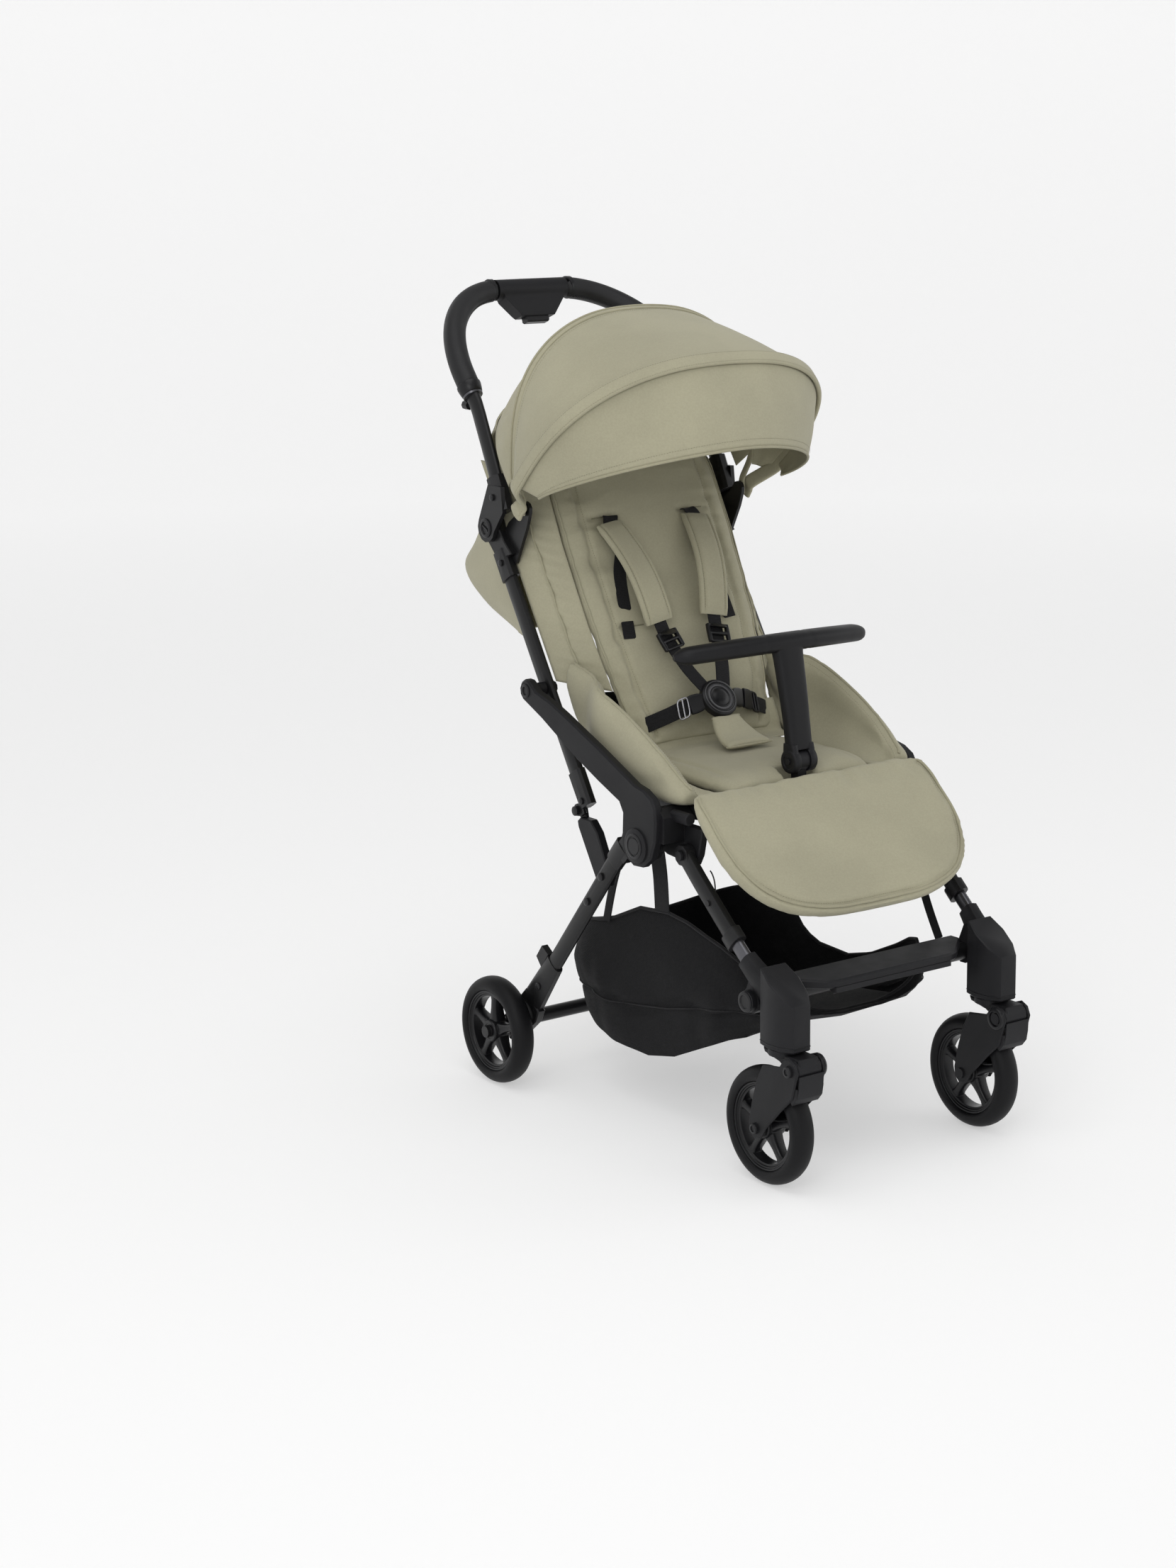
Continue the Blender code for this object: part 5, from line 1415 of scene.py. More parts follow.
bolster_pieces = pair("bolster_cushion", bolster_soft, SAGE, "seat_frame", ["bolster_L"], angle=80)
for made in (*bolster_pieces, *bolster_pipes, *bolster_threads):
    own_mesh(made)

# %% [markdown]
# The cover runs on from the back pad to the seat pad without a gap. A small sheet lies across the
# hinge between them, on no body.

# %% Where back and seat meet
crease_rows = []
for x in np.linspace(-0.118, 0.118, 49):
    column = [
        back_point(0.030, 0.0045, x), back_point(0.004, 0.0035, x), Vector((x, 0.0075, 0.4700)),
        Vector((x, 0.0020, 0.4640)), Vector((x, -0.0180, 0.4625))
    ]
    crease_rows.append([Vector(p) for p in spline(column, 14)])
crease_cloth = piece(
    "seat_crease_cloth", grid_sheet(crease_rows), SAGE, "seat_frame", thickness=CLOTH_THICK,
    bend=("backrest", settled(0.000, 0.466), settled(0.012, 0.480))
)

# %% [markdown]
# ## Side wings
#
# Gathered cloth between the back pad's edge and the frame tube, piped along its front edge. A flat
# sheet would look like card, so the rows between its two edges are moved by a gathered wave.

# %% The side wings
wing_rows, wing_edge = [], []
for k, d in enumerate(np.linspace(0.070, 0.372, 76)):
    inner = back_point(d, 0.0100, -0.99 * back_half(d) - 0.0012)
    z = inner.z + 0.010
    outer = Vector((-0.1712, tube_y(z) - 0.0135, z))
    front = inner.lerp(outer, 0.55) + Vector((0, -0.0060, 0.0))
    wave = 0.0016 * math.sin(k * 1.55) + 0.0020 * noise.noise(Vector((k * 0.21, 3.1, 0.4)))
    line = [Vector(p) for p in spline([inner, front, outer], 13)]
    wing_rows.append([p + Vector((0, -wave * math.sin(math.pi * i / 12), 0)) for i, p in enumerate(line)])
    wing_edge.append(wing_rows[-1][6] + Vector((0, -0.0010, 0)))
wing_pieces = pair(
    "side_wing", grid_sheet([row[::-1] for row in wing_rows]), SAGE, "back_frame", ["side_panel_L"],
    thickness=CLOTH_THICK
)
pair(
    "side_wing_piping", cord_of([Vector(p) for p in spline(wing_edge[::3], 90)], PIPING_R), PIPING,
    "back_frame"
)

# %% [markdown]
# ## Leg rest
#
# A padded flap that hangs from the seat's front edge for the child's calves, rounded at its lower end.
# It is thin and firm compared with the seat, so its outline and its thickness are given directly, and
# it is blown up by no more than two millimetres.

# %% The leg rest's outline
REST_DOWN = Vector((0, -math.cos(REST_SLOPE), -math.sin(REST_SLOPE)))
REST_UP = Vector((0, -math.sin(REST_SLOPE), math.cos(REST_SLOPE)))
HALVES = [
    (0.0040, 0.172), (0.0120, 0.184), (0.0420, 0.1885), (0.095, 0.1885), (0.130, 0.1805), (0.160, 0.1625),
    (0.182, 0.1375), (0.196, 0.1030), (0.2035, 0.0660), (0.2052, 0.0300)
]
rim_half = [Vector((-half, d, 0)) for d, half in HALVES] + [Vector((0, 0.2056, 0))]
rim_whole = rim_half + [Vector((-p.x, p.y, 0)) for p in reversed(rim_half[:-1])]
rim_line = [Vector(p) for p in spline(rim_whole, 150)] + [
    Vector((x, 0.0030, 0)) for x in np.linspace(0.150, -0.150, 30)
]


def rest_point(x, distance, up):
    """A place on the leg rest, by its distance down from the hinge and its height over the middle."""
    return Vector((x, REST_PIVOT[0], REST_PIVOT[1])) + REST_DOWN * distance + REST_UP * up


def rest_thick(distance):
    """Half the leg rest's thickness."""
    return float(
        np.interp(
            distance, (0.0, 0.012, 0.042, 0.10, 0.19, 0.206),
            (0.0036, 0.0052, 0.0100, 0.0112, 0.0108, 0.0102)
        )
    )

# %% [markdown]
# The pad is a stack of outlines that shrink towards the middle of both faces. A double row runs
# round it: piping outside and stitches inside, each in its own groove.

# %% The leg rest's pad and seams
rest_rings = []
for scale_in, up in (
    (0.02, 1.0), (0.3, 1.0), (0.6, 1.0), (0.85, 1.0), (0.96, 0.98), (1.0, 0.86), (1.003, 0.4),
    (1.0, -0.2), (0.985, -0.8), (0.95, -1.0), (0.8, -1.0), (0.5, -1.0), (0.02, -1.0)
):
    rest_rings.append(
        [
            rest_point(
                p.x * scale_in, 0.10 + (p.y - 0.10) * scale_in,
                up * rest_thick(0.10 + (p.y - 0.10) * scale_in)
            )
            for p in rim_line
        ]
    )
rest_soft = puffed(skin(rest_rings), voxel=0.005, most=0.0022)
rim_seam = rim_line[6:-36]
for inset, name in ((0.0080, "outer"), (0.0135, "inner")):
    line = []
    for p in rim_seam:
        away = Vector((-p.x, 0.10 - p.y, 0)).normalized() * inset
        line.append(rest_point(p.x + away.x, p.y + away.y, rest_thick(p.y) + 0.002))
    laid, outs = onto(rest_soft, line, 0.0)
    if name == "outer":
        pressed(rest_soft, laid, 0.0012, 0.0028)
        piece(
            "leg_rest_piping", cord_of([p + o * 0.0002 for p, o in zip(laid, outs)], 0.0019), PIPING,
            "leg_rest_body"
        )
    else:
        pressed(rest_soft, laid, 0.0012, 0.0020)
        piece(
            "leg_rest_stitches", stitches([p - o * 0.0008 for p, o in zip(laid, outs)], outs), THREAD,
            "leg_rest_body"
        )
rumpled(rest_soft, 0.0022, 16.0, (0.6, 1, 1), None, 11.0)
rumpled(rest_soft, 0.0030, 48.0, (1.0, 0.5, 0.5), lambda p: math.exp(-((p[2] - 0.452) / 0.012) ** 2), 2.0)
rest_cushion = piece("leg_rest_cushion", rest_soft, SAGE, "leg_rest_body", ["leg_rest"], angle=80)

# %% [markdown]
# ## Basket
#
# Black cloth slung under the seat: high sides gathered to the frame, a low sagging front and a rounded
# floor, with a bound rim, a wavy seam and webbing slings. Cloth simulation would let it hang, but not
# in the shape that its seams give, so its columns run from rim to floor as it is sewn.

# %% The basket's shape
RIM_Y = (-0.300, -0.260, -0.200, -0.140, -0.080, -0.040, 0.000, 0.030, 0.060, 0.120, 0.160)
RIM_Z = (0.2200, 0.2400, 0.2620, 0.2780, 0.2840, 0.2760, 0.2580, 0.2450, 0.2380, 0.2280, 0.2200)

DIP_Y = (-0.290, -0.260, -0.230, -0.200, -0.144, -0.087, -0.0286, 0.0015, 0.035)
DIP_Z = (0.300, 0.236, 0.228, 0.212, 0.186, 0.171, 0.178, 0.196, 0.250)


def basket_place(t, level):
    """t goes round the rim and level from the floor's edge at 0 to the rim at 1."""
    c, s = math.cos(t), math.sin(t)
    grow = float(np.interp(level, (0.0, 0.14, 0.60, 1.0), (0.0, 0.40, 0.90, 0.75)))
    half_x, half_y = 0.1385 + 0.0120 * grow, 0.2070 + 0.0200 * grow
    x = half_x * power(c, 2 / 5.0)
    y = -0.0700 + half_y * power(s, 2 / 4.0)
    low = 0.0790 + 0.100 * max(0.0, (-0.07 - y) / 0.22) + 0.015 * max(0.0, (y - 0.03) / 0.12)
    high = float(np.interp(y, RIM_Y, RIM_Z))
    middle = abs(x) / half_x
    if y < -0.20:
        high -= 0.045 * (1 - middle**2) * min(1.0, (-0.20 - y) / 0.07)
    if y > 0.10:
        high -= 0.020 * (1 - middle**2)
    if x > 0:
        high = min(high, float(np.interp(y, DIP_Y, DIP_Z)))
    return Vector((x, y, low + (high - low) * level))

# %% [markdown]
# The cloth hangs in folds between its rim and floor, so noise moves it sideways, most in the middle.

# %% Basket cloth, binding and seam
basket_columns = []
for k in range(180):
    t = 2 * math.pi * (k + 0.5) / 180
    column = []
    for i in range(9):
        f = i / 9
        edge = basket_place(t, 0.0)
        column.append(Vector((edge.x * f, -0.0700 + (edge.y + 0.0700) * f, edge.z + 0.0035 * (1 - f))))
    for i in range(27):
        level = i / 26
        p = basket_place(t, level)
        away = Vector((p.x, (p.y + 0.07) * 0.6, 0)).normalized()
        folds = noise.noise(Vector((p.x * 14, p.y * 14, level * 2.0))) + 0.6 * noise.noise(
            Vector((p.x * 34 + 5, p.y * 34, level * 4.0))
        )
        bulge = 0.006 * math.sin(math.pi * level) - 0.004 * math.exp(
            -((level - 0.36 - 0.05 * math.sin(p.y * 40)) / 0.03) ** 2
        )
        column.append(
            p + away * (bulge + 0.0055 * folds * math.sin(math.pi * min(1.0, level * 1.2 + 0.1)) ** 0.8)
        )
    basket_columns.append(column)
bm_rows = list(map(list, zip(*basket_columns)))[1:]
tub = skin(bm_rows, round_rows=True, caps=False)
floor_bm = bmesh.new()
hub_vert = floor_bm.verts.new(Vector((0, -0.0700, bm_rows[0][0].z)))
ring_verts = [floor_bm.verts.new(p) for p in bm_rows[0]]
for k in range(180):
    floor_bm.faces.new((hub_vert, ring_verts[(k + 1) % 180], ring_verts[k]))
tub = together(tub, mesh_of(floor_bm))
basket_rim = [column[-1] for column in basket_columns]
basket_cloth = piece("basket_cloth", tub, MESH_CLOTH, "seat_frame", ["basket"], thickness=CLOTH_THICK)
rim_binding = piece("basket_rim_binding", cord_of(basket_rim, 0.0022, closed=True), WEBBING, "seat_frame")
seam_line = [
    column[18] + Vector((column[18].x, column[18].y + 0.07, 0)).normalized() * 0.0010
    for column in basket_columns
]
basket_seam = piece("basket_seam", cord_of(seam_line, 0.0009, 6, closed=True), WEBBING, "seat_frame")

# %% [markdown]
# Flat webbing carries the rim from the seat frame. The far side has one sling fewer, because the
# photograph shows that rim hanging free.

# %% Webbing slings and a thin loop
def ribbon(path, half, thick, side=X, count=48):
    """Flat webbing along a smooth path."""
    line = [Vector(p) for p in spline(path, count)]
    halves = [
        float(v) for v in np.interp(np.linspace(0, 1, count), np.linspace(0, 1, len(half)), half)
    ] if isinstance(half, (list, tuple)) else half
    return sweep(line, halves, thick, 20, 5.0, side, turn=0.5)


slings = [
    ribbon(
        [
            (-0.1490, -0.2750, 0.2360), (-0.1530, -0.2500, 0.2700), (-0.1600, -0.2150, 0.3200),
            (-0.1660, -0.1740, 0.3570)
        ],
        0.0070, 0.0009, Y
    ),
    ribbon(
        [
            (-0.1500, 0.0300, 0.2440), (-0.1460, 0.0180, 0.3000), (-0.1410, -0.0050, 0.3700),
            (-0.1400, -0.0100, 0.4120)
        ],
        0.0075, 0.0009, Y
    ),
    ribbon(
        [
            (-0.1500, -0.0900, 0.2830), (-0.1500, -0.0860, 0.3300), (-0.1460, -0.0700, 0.3800),
            (-0.1400, -0.0600, 0.4130)
        ],
        0.0150, 0.0009, Y
    )
]
hanging = [rim_binding, basket_seam, basket_cloth]
hanging.append(piece("basket_sling_L", together(*slings), WEBBING, "seat_frame"))
hanging.append(piece("basket_sling_R", mirrored(together(*slings[:2])), WEBBING, "seat_frame"))
for made in hanging:
    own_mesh(made)
loop_line = [
    Vector((-0.1680, -0.2060, 0.3420)) + Vector((0, -0.0160 * math.sin(a), 0.0230 * math.cos(a)))
    for a in np.linspace(0.4, 5.6, 25)
]
loop_line = [Vector(p) for p in spline(loop_line, 60)]
loop = piece("side_cord_loop", cord_of(loop_line, 0.0009, 8), SATIN, "seat_frame")

# %% [markdown]
# ## Seat underside
#
# A black cloth sling under the seat pad carries the child's weight from rail to rail. It sags a
# little in the middle, which rows of a simple curve give exactly.

# %% The sling under the seat
under_rows = []
for x in np.linspace(-0.1400, 0.1400, 57):
    sag = 0.010 * (1 - (x / 0.14) ** 2)
    column = []
    for y, z in (
        (0.1000, 0.5280), (0.0600, 0.4720), (0.0200, 0.4380), (-0.0100, 0.4365), (-0.0600, 0.4345),
        (-0.1100, 0.4340), (-0.1600, 0.4350)
    ):
        low = sag if y < 0.0 else sag * 0.4
        column.append(Vector((x, y, z - low + 0.0016 * noise.noise(Vector((x * 40, y * 22, 1.7))))))
    under_rows.append([Vector(p) for p in spline(column, 44)])
under_cloth = piece(
    "seat_underside_cloth", grid_sheet(under_rows), LINING, "seat_frame", thickness=LINING_THICK,
    bend=("backrest", settled(0.005, 0.440), settled(0.035, 0.455))
)

# %% [markdown]
# ## Harness
#
# Two padded shoulder straps, ladder locks, a round buckle with a domed press button, waist straps with
# a metal slider on one side and a clip on the other, and the padded cover between the legs. A flat
# strap twists as it turns a corner, so straps are ribbons that are told which way their face looks.

# %% Shoulder pads
WEB = 0.0100


def pad_centre(s, side):
    """The middle line of a shoulder pad, from its slot at s = 0 to its lower end at 1."""
    start = back_point(0.2880, -0.0064, -0.0700)
    end = Vector((-0.0440, 0.0560, 0.6180))
    p = start.lerp(end, s) + BACK_FRONT * (0.0140 * math.sin(math.pi * s) + 0.0010)
    return Vector((p.x * -side, p.y, p.z))


def shoulder_pad(side):
    """A shoulder pad with a groove along each edge, and its stitches."""
    line = [pad_centre(s, side) for s in np.linspace(0.0, 1.0, 44)]
    rows = []
    for i, (p, u, v) in enumerate(frames(line, X)):
        edge = min(i, 43 - i)
        grow = math.sqrt(min(1.0, 0.30 + edge / 4.0))
        half = 0.0218 * (0.92 + 0.08 * grow)
        ring = []
        for c, d in [(math.cos(a), math.sin(a)) for a in np.linspace(0, 2 * math.pi, 56, endpoint=False)]:
            across = half * power(c, 2 / 4.2)
            thick = 0.0058 * grow * power(d, 2 / 2.6)
            groove = 1 - 0.42 * math.exp(-((abs(across) - 0.0160) / 0.0013) ** 2)
            ring.append(p + u * across + v * thick * groove)
        rows.append(ring)
    made = skin(rows)
    lines, normals = [], []
    for sign in (-1, 1):
        for lift in (-1, 1):
            lines.append([p + u * 0.0160 * sign + v * 0.0037 * lift for p, u, v in frames(line, X)[2:-2]])
            normals.append([v * lift for p, u, v in frames(line, X)[2:-2]])
    return made, together(*[stitches(a, b) for a, b in zip(lines, normals)])


left_pad, left_stitches = shoulder_pad(-1)
pads = pair("shoulder_cushion", left_pad, SAGE, "backrest", ["shoulder_pad_L"], angle=70)
pair("shoulder_stitches", left_stitches, THREAD, "backrest")

top_web = [
    back_point(0.3000, -0.0002, -0.0600), back_point(0.2965, -0.0070, -0.0640),
    pad_centre(0.03, -1) + BACK_FRONT * 0.0010, pad_centre(0.16, -1)
]
low_web = [
    pad_centre(0.90, -1), pad_centre(1.0, -1), Vector((-0.0400, 0.0440, 0.5980)),
    Vector((-0.0300, 0.0210, 0.5660)), Vector((-0.0190, 0.0035, 0.5440)),
    Vector((-0.0130, -0.0040, 0.5350))
]
pair(
    "shoulder_webbing", together(ribbon(top_web, WEB, 0.0008), ribbon(low_web, WEB, 0.0008)), WEBBING,
    "backrest", ["shoulder_strap_L"]
)
spare = [
    pad_centre(0.25, -1) - BACK_FRONT * 0.0075, back_point(0.220, -0.0045, -0.0730),
    back_point(0.170, -0.0030, -0.0800), back_point(0.1330, -0.0010, -0.0835)
]
pair("shoulder_spare_webbing", ribbon(spare, WEB * 0.95, 0.0007), WEBBING, "backrest")

# %% [markdown]
# The adjusters are moulded ladders: the strap runs over and under the bars, and a tab lets it slip.

# %% Strap adjusters
def ladder_lock():
    """A webbing adjuster: two side rails, three bars and a half-round pull tab."""
    low, high = Vector((-0.0362, 0.0335, 0.5835)), Vector((-0.0418, 0.0490, 0.6062))
    along = (high - low).normalized()
    across = (X - along * along.x).normalized()
    out = along.cross(across).normalized()
    if out.y > 0:
        out = -out
    middle = low.lerp(high, 0.5) + out * 0.0030
    bars = []
    for sign in (-1, 1):
        rail = [middle + across * 0.0142 * sign + along * s for s in (-0.0125, -0.0060, 0.0, 0.0060, 0.0125)]
        bars.append(sweep(rail, [0.0022, 0.0026, 0.0027, 0.0026, 0.0022], 0.0030, 20, 3.4, across))
    for s, deep, wide in ((-0.0115, 0.0026, 0.0020), (0.0, 0.0030, 0.0024), (0.0112, 0.0028, 0.0022)):
        bar = [middle + along * s + across * x for x in np.linspace(-0.0145, 0.0145, 7)]
        bars.append(sweep(bar, deep, wide, 16, 3.0, out))
    tab = [
        oval(
            middle + along * (0.0118 - 0.0012 * k) + out * (0.0022 + 0.0014 * k), across, out,
            0.0110 * math.sqrt(1 - (k / 7) ** 2 * 0.86), 0.0012, 24, 3.2
        )
        for k in range(8)
    ]
    bars.append(skin(tab))
    return together(*bars)


pair("strap_adjuster", ladder_lock(), SATIN, "backrest")

# %% [markdown]
# The buckle is a shallow round shell with two thin grey rings and a domed button in a deep well,
# into which the button sinks when it is pressed.

# %% Buckle and press button
BUCKLE_AT = Vector((0, -0.0120, 0.5230))
BUCKLE_UP = Vector((0, -0.80, 0.60)).normalized()


def on_buckle(profile, count=72):
    """A turned piece on the buckle's own axis."""
    return turned(profile, BUCKLE_AT, BUCKLE_UP, count)


buckle_shell = on_buckle(
    [
        (-0.0080, 0.0205), (-0.0072, 0.0240), (-0.0050, 0.0260), (0.0015, 0.0262), (0.0034, 0.0254),
        (0.0046, 0.0238), (0.0050, 0.0222), (0.0046, 0.0214), (0.0052, 0.0206), (0.0056, 0.0192),
        (0.0052, 0.0176), (0.0030, 0.0168), (-0.0032, 0.0166), (-0.0042, 0.0120)
    ]
)
piece("harness_buckle", buckle_shell, SATIN, "seat_frame", ["buckle"], angle=30)
ring_one = on_buckle([(0.0050, 0.0214), (0.0056, 0.0218), (0.0056, 0.0223), (0.0050, 0.0227)])
ring_two = on_buckle([(0.0052, 0.0172), (0.0058, 0.0175), (0.0058, 0.0179), (0.0053, 0.0183)])
GREY = moulded("grey satin nylon", "4A4A4C", 0.34, grain=900.0, depth=0.00001, specular=0.4)
piece("buckle_rings", together(ring_one, ring_two), GREY, "seat_frame")
dome = on_buckle(
    [
        (0.0012, 0.0100), (0.0012, 0.0156), (0.0046, 0.0158), (0.0058, 0.0152), (0.0062, 0.0138),
        (0.0056, 0.0124), (0.0058, 0.0112), (0.0070, 0.0092), (0.0077, 0.0060), (0.0080, 0.0012)
    ]
)
piece("buckle_press_button", dome, SATIN, "buckle_button_body", ["buckle_button"], angle=30)

# %% [markdown]
# The waist straps come out of the crease beside the seat and end in the buckle's tongues.

# %% Waist straps, tongues, slider and clip
waist = [
    Vector((-0.0240, -0.0100, 0.5215)), Vector((-0.0450, -0.0040, 0.5160)),
    Vector((-0.0700, 0.0040, 0.5060)), Vector((-0.0900, 0.0110, 0.4985)),
    Vector((-0.0990, 0.0150, 0.4945))
]
WAIST_UP = unit(0, 0.3, 0.95)
pair("waist_webbing", ribbon(waist, WEB, 0.0008, WAIST_UP), WEBBING, "seat_frame", ["waist_strap_L"])
tongue = [
    Vector((-0.0235, -0.0105, 0.5220)), Vector((-0.0330, -0.0075, 0.5195)),
    Vector((-0.0420, -0.0050, 0.5170))
]
pair(
    "waist_tongue", ribbon(tongue, [0.0100, 0.0122, 0.0128, 0.0120], 0.0034, WAIST_UP, 24), SATIN,
    "seat_frame"
)


def slider(middle, along, up, size, wall):
    """A rectangular wire frame with one middle bar."""
    out = along.cross(up).normalized()
    half_a, half_b = size
    corners = [
        middle + along * half_a * power(math.cos(a), 0.45) + up * half_b * power(math.sin(a), 0.45)
        for a in np.linspace(0, 2 * math.pi, 48, endpoint=False)
    ]
    frame_wire = cord_of(corners, wall, 10, closed=True)
    bar = cord_of([middle - up * half_b, middle, middle + up * half_b], wall, 10)
    return together(frame_wire, bar)


waist_way = (waist[2] - waist[1]).normalized()
slider_out = waist_way.cross(WAIST_UP).normalized()
if slider_out.y > 0:
    slider_out = -slider_out
piece(
    "waist_metal_slider",
    slider(
        Vector((-0.0500, -0.0025, 0.5140)) + slider_out * 0.0020, waist_way, WAIST_UP, (0.0075, 0.0125),
        0.0013
    ),
    BRIGHT, "seat_frame"
)
clip_way = Vector((-waist_way.x, waist_way.y, waist_way.z))
clip_at = Vector((0.0520, -0.0020, 0.5135)) + Vector((-slider_out.x, slider_out.y, slider_out.z)) * 0.0022
clip_bars = [
    ribbon(
        [clip_at - clip_way * 0.0090, clip_at, clip_at + clip_way * 0.0090], [0.0130, 0.0138, 0.0130],
        0.0024, WAIST_UP, 16
    ),
    slider(clip_at + clip_way * 0.0185, clip_way, WAIST_UP, (0.0070, 0.0125), 0.0016)
]
piece("waist_side_clip", together(*clip_bars), SATIN, "seat_frame")

# %% [markdown]
# The cover between the legs is a padded trapezoid with a bound edge. It is too small and firm to
# need the simulation: a closed skin, drawn in at both ends and rumpled. Its binding is a cord.

# %% The cover between the legs
cover_line = [
    (-0.0262, 0.5015, 0.0205, 0.60), (-0.0330, 0.4945, 0.0240, 0.64), (-0.0410, 0.4880, 0.0275, 0.70),
    (-0.0510, 0.4820, 0.0305, 0.82), (-0.0610, 0.4775, 0.0325, 0.92), (-0.0700, 0.4750, 0.0332, 0.97),
    (-0.0770, 0.4738, 0.0330, 1.0)
]
cover_rows, cover_rim = [], []
fine_cover = spline(cover_line, 40)
for k, (y, z, half, lean) in enumerate(fine_cover):
    lean = min(1.0, max(0.0, lean))
    normal = Vector((0, -math.sqrt(1 - lean * lean), lean))
    edge = min(k, 39 - k)
    thick = 0.0058 * math.sqrt(min(1.0, 0.18 + edge / 6.0))
    rows_here = oval(Vector((0, y, z)), X, normal, half, thick, 56, 2.9, 0.5)
    cover_rows.append(rows_here)
    cover_rim.append((Vector((0, y, z)), half, normal))
cover_soft = skin(cover_rows)
rumpled(cover_soft, 0.0022, 42.0, (1, 1, 1), None, 6.0)
left_rim = [p + X * (-half + 0.0016) for p, half, normal in cover_rim]
right_rim = [p + X * (half - 0.0016) for p, half, normal in reversed(cover_rim)]
rim_path = [Vector(p) for p in spline([*left_rim[::3], *right_rim[::3]], 120, closed=True)]
piece("crotch_piping", cord_of(rim_path, 0.0015, closed=True), PIPING, "seat_frame")
crotch = piece("crotch_cushion", cover_soft, SAGE, "seat_frame", ["crotch_cover"], angle=80)

# %% [markdown]
# ## Fittings
#
# Rivet heads, socket bolts, end caps, hub rings and the bright inner tubes of the front legs. They are
# a few millimetres across, but they catch the light and tell the eye how the frame is put together.
# Modelling them into each solid would tie them to it, so they lie on its surface: the round ones turned,
# the others swept or cut as flat strips.

# %% Rivets, bolts and caps
BARREL, CROSS = (-0.388, FRONT_R + 0.0872), (-0.305, 0.225)
LINK_TOP, HOUSING_Z = (0.045, 0.391), FRONT_R + 0.1052


def rivet(spot, x, radius, height=0.0014):
    """A domed head on an outer face."""
    return turned(
        [
            (0.0004, radius), (-height * 0.5, radius), (-height, radius * 0.72),
            (-height * 1.15, radius * 0.2)
        ],
        at(spot, x), count=36
    )


def ringed(spot, x, radius, inner, height=0.0016, way=1.0):
    """A boss with a rounded rim and a sunk middle, as on a socket bolt or an end cap."""
    profile = [
        (0.0004, radius), (-height * 0.6, radius), (-height, radius * 0.90), (-height, inner * 1.10),
        (-height * 0.2, inner), (-height * 0.2, inner * 0.08)
    ]
    return turned([(s * way, r) for s, r in profile], at(spot, x), count=48)


def strip(outline, x0, x1):
    """A flat piece between two planes across the stroller."""
    return skin([[at(p, x) for p in outline] for x in (x0, x1)])


pair(
    "fork_bolts",
    together(
        ringed(FRONT_AXLE, -FRONT_X - 0.0250, 0.0064, 0.0034),
        ringed(BARREL, -FRONT_X - 0.0250, 0.0068, 0.0036)
    ),
    SATIN, "fork_body_L"
)
pair("fork_barrel_cap", ringed(BARREL, -FRONT_X + 0.0226, 0.0140, 0.0088, 0.0030, -1.0), SATIN, "fork_body_L")
web = [
    (-0.4034, 0.1560), (-0.4026, 0.1420), (-0.3990, 0.1270), (-0.3974, 0.1280), (-0.4008, 0.1425),
    (-0.4014, 0.1560)
]
pair("fork_front_web", strip(web, -FRONT_X - 0.0186, -FRONT_X + 0.0186), NYLON, "fork_body_L", angle=30)
plan = [
    (-0.0125, -0.3850), (0.0125, -0.3850), (0.0210, -0.3700), (0.0235, -0.3500), (0.0190, -0.3300),
    (-0.0190, -0.3300), (-0.0235, -0.3500), (-0.0210, -0.3700)
]
bead = [
    Vector((-FRONT_X + px * 1.006, -0.3575 + (py + 0.3575) * 1.006, HOUSING_Z + 0.0060))
    for px, py in plan
]
pair("caster_bead", cord_of(bead, 0.0006, 6, closed=True), SATIN, "front_legs")
pair("cross_tube_cap", ringed(CROSS, -0.1875, 0.0124, 0.0078), SATIN, "front_legs")
slide = [
    Vector((-0.1787, -0.2800, 0.2880)), Vector((-0.1785, -0.2920, 0.2780)),
    Vector((-0.1776, -0.3000, 0.2711))
]
pair("front_leg_slide_tube", sweep(slide, 0.0064, 0.0094, 28, 2.4), ANODISED, "front_legs")
pair(
    "rear_leg_rivets",
    together(
        *[
            rivet(spot, -LEG_X - 0.0074, r)
            for spot, r in (
                ((-0.0270, 0.3215), 0.0052), ((0.0040, 0.2825), 0.0052), ((0.1160, 0.1440), 0.0047)
            )
        ]
    ),
    SATIN, "rear_legs"
)
pair("link_rivet", rivet(LINK_TOP, -TUBE_X - 0.0095, 0.0061), SATIN, "links")
pair(
    "back_tube_rivets",
    together(
        rivet((0.0330, 0.4060), -TUBE_X - 0.0085, 0.0044),
        rivet((0.2080, 0.6900), -TUBE_X - 0.0095, 0.0044)
    ),
    SATIN, "back_frame"
)
slot_bar = sweep(
    [
        at((KNEE[0] - 0.0058, KNEE[1] - 0.0030), -TUBE_X - 0.0136),
        at((KNEE[0] + 0.0058, KNEE[1] + 0.0030), -TUBE_X - 0.0136)
    ],
    0.0008, 0.0012, 12, 3.0
)
pair(
    "knee_boss",
    together(
        ringed(KNEE, -TUBE_X - 0.0124, 0.0125, 0.0078, 0.0022), slot_bar,
        rivet((0.2190, 0.7745), -TUBE_X - 0.0140, 0.0044)
    ),
    SATIN, "handle"
)
hub_face = turned(
    [
        (0.0006, 0.0158), (-0.0008, 0.0158), (-0.0014, 0.0150), (-0.0014, 0.0126), (-0.0003, 0.0120),
        (-0.0003, 0.0108), (-0.0012, 0.0102), (-0.0012, 0.0010)
    ],
    at(HUB, -0.2161), count=64
)
pair(
    "arm_hub_ring", together(hub_face, ringed(ARM_PIN, -ARM_OUT, 0.0088, 0.0050, 0.0018)), SATIN,
    "seat_frame"
)

# %% [markdown]
# ## Studio
#
# A pale floor that turns up into a round wall far off, a large soft light overhead, a key light from
# the left front and a weaker fill. A plain world colour would leave no shadow under the wheels, and
# one hard lamp would hide the folds in the black cloth.

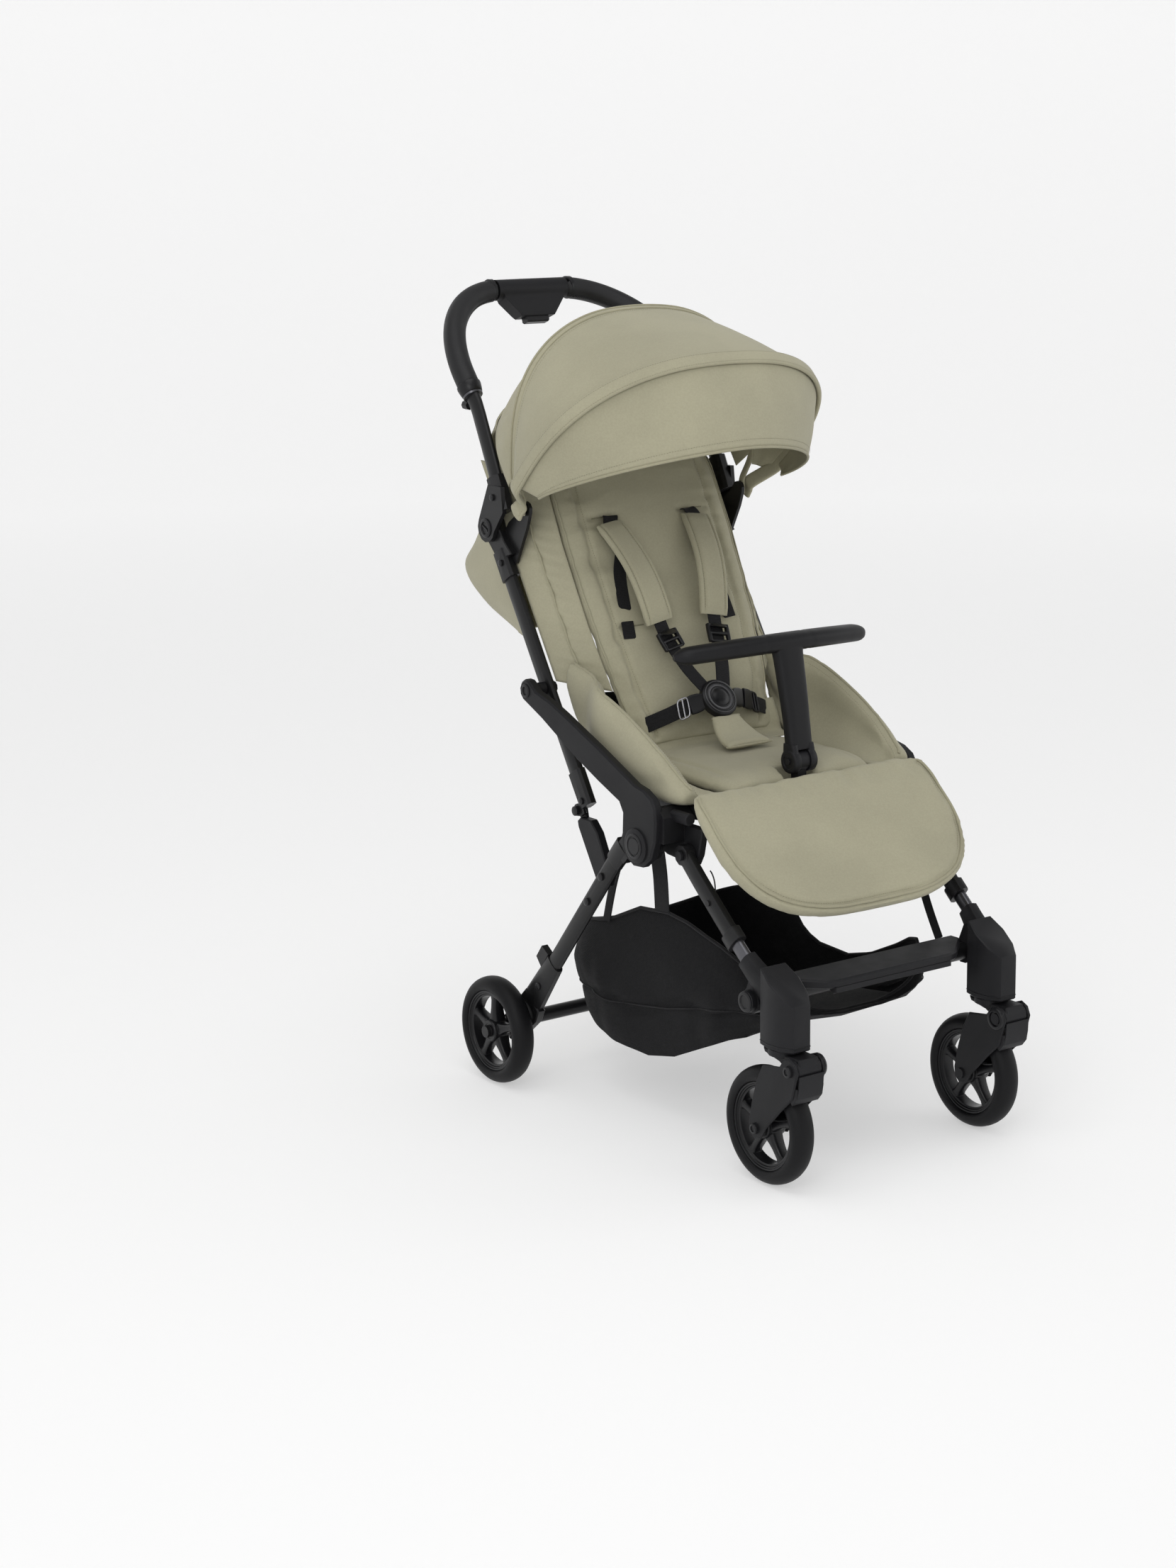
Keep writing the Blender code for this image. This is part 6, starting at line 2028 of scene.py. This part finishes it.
# %% Floor, lamps and world
def studio_floor():
    """A round floor that curves up into a wall, lighter far off than near by."""
    profile = [(0.0, 0.0005), (0.0, 6.0)]
    profile += [
        (1.6 - 1.6 * math.cos(math.radians(a)), 6.0 + 1.6 * math.sin(math.radians(a)))
        for a in range(10, 91, 10)
    ]
    profile += [(5.5, 7.6)]
    rows = [oval(Vector((0, 0, h)), X, Y, r, r, 96) for h, r in profile]
    made = bpy.data.objects.new("floor", skin(rows, caps=False))
    bpy.context.scene.collection.objects.link(made)
    made.data.shade_smooth()
    paint, tree, shader, place = surface("studio paper", "C6C6C6", 0.9, specular=0.1)
    patches = noise_of(tree, place, 0.5)
    tree.links.new(tinted(tree, "C6C6C6", spread(tree, patches, 0.995, 1.0)), shader.inputs["Base Color"])
    shader.inputs["Emission Color"].default_value = srgb("FFFFFF")
    away = add_node(tree, "VectorMath", {0: place}, operation="LENGTH").outputs["Value"]
    tree.links.new(spread(tree, away, 0.43, 0.49, 1.5, 6.0), shader.inputs["Emission Strength"])
    made.data.materials.append(paint)
    made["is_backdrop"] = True


def lamp(name, energy, location, target, size):
    """A soft square light that faces its target."""
    light = bpy.data.lights.new(name, "AREA")
    light.energy = energy
    light.shape, light.size, light.size_y = "RECTANGLE", size, size
    made = bpy.data.objects.new(name, light)
    made.location = location
    made.rotation_mode = "QUATERNION"
    made.rotation_quaternion = (Vector(target) - Vector(location)).to_track_quat("-Z", "Y")
    bpy.context.scene.collection.objects.link(made)


studio_floor()
world = bpy.data.worlds.new("studio")
bpy.context.scene.world = world
world.use_nodes = True
world.node_tree.nodes["Background"].inputs["Color"].default_value = (1, 1, 1, 1)
world.node_tree.nodes["Background"].inputs["Strength"].default_value = 0.40
lamp("overhead", 34, (-0.6, -0.4, 3.4), (0, 0, 0.5), 2.6)
lamp("key", 26, (-2.6, -2.4, 2.4), (0, 0, 0.6), 1.6)
lamp("fill", 8, (2.8, -1.6, 1.6), (0, 0, 0.6), 1.8)

# %% [markdown]
# ## Size of the finished model
#
# The outer box of all the shown pieces, less the floor, is measured, and its size printed in metres.
# The finished pieces may not pass the CAD's outer box by more than a few millimetres.

# %% Size of the model
low, high = [list(corner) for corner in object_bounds()]
print("model size in metres:", [round(b - a, 4) for a, b in zip(low, high)])
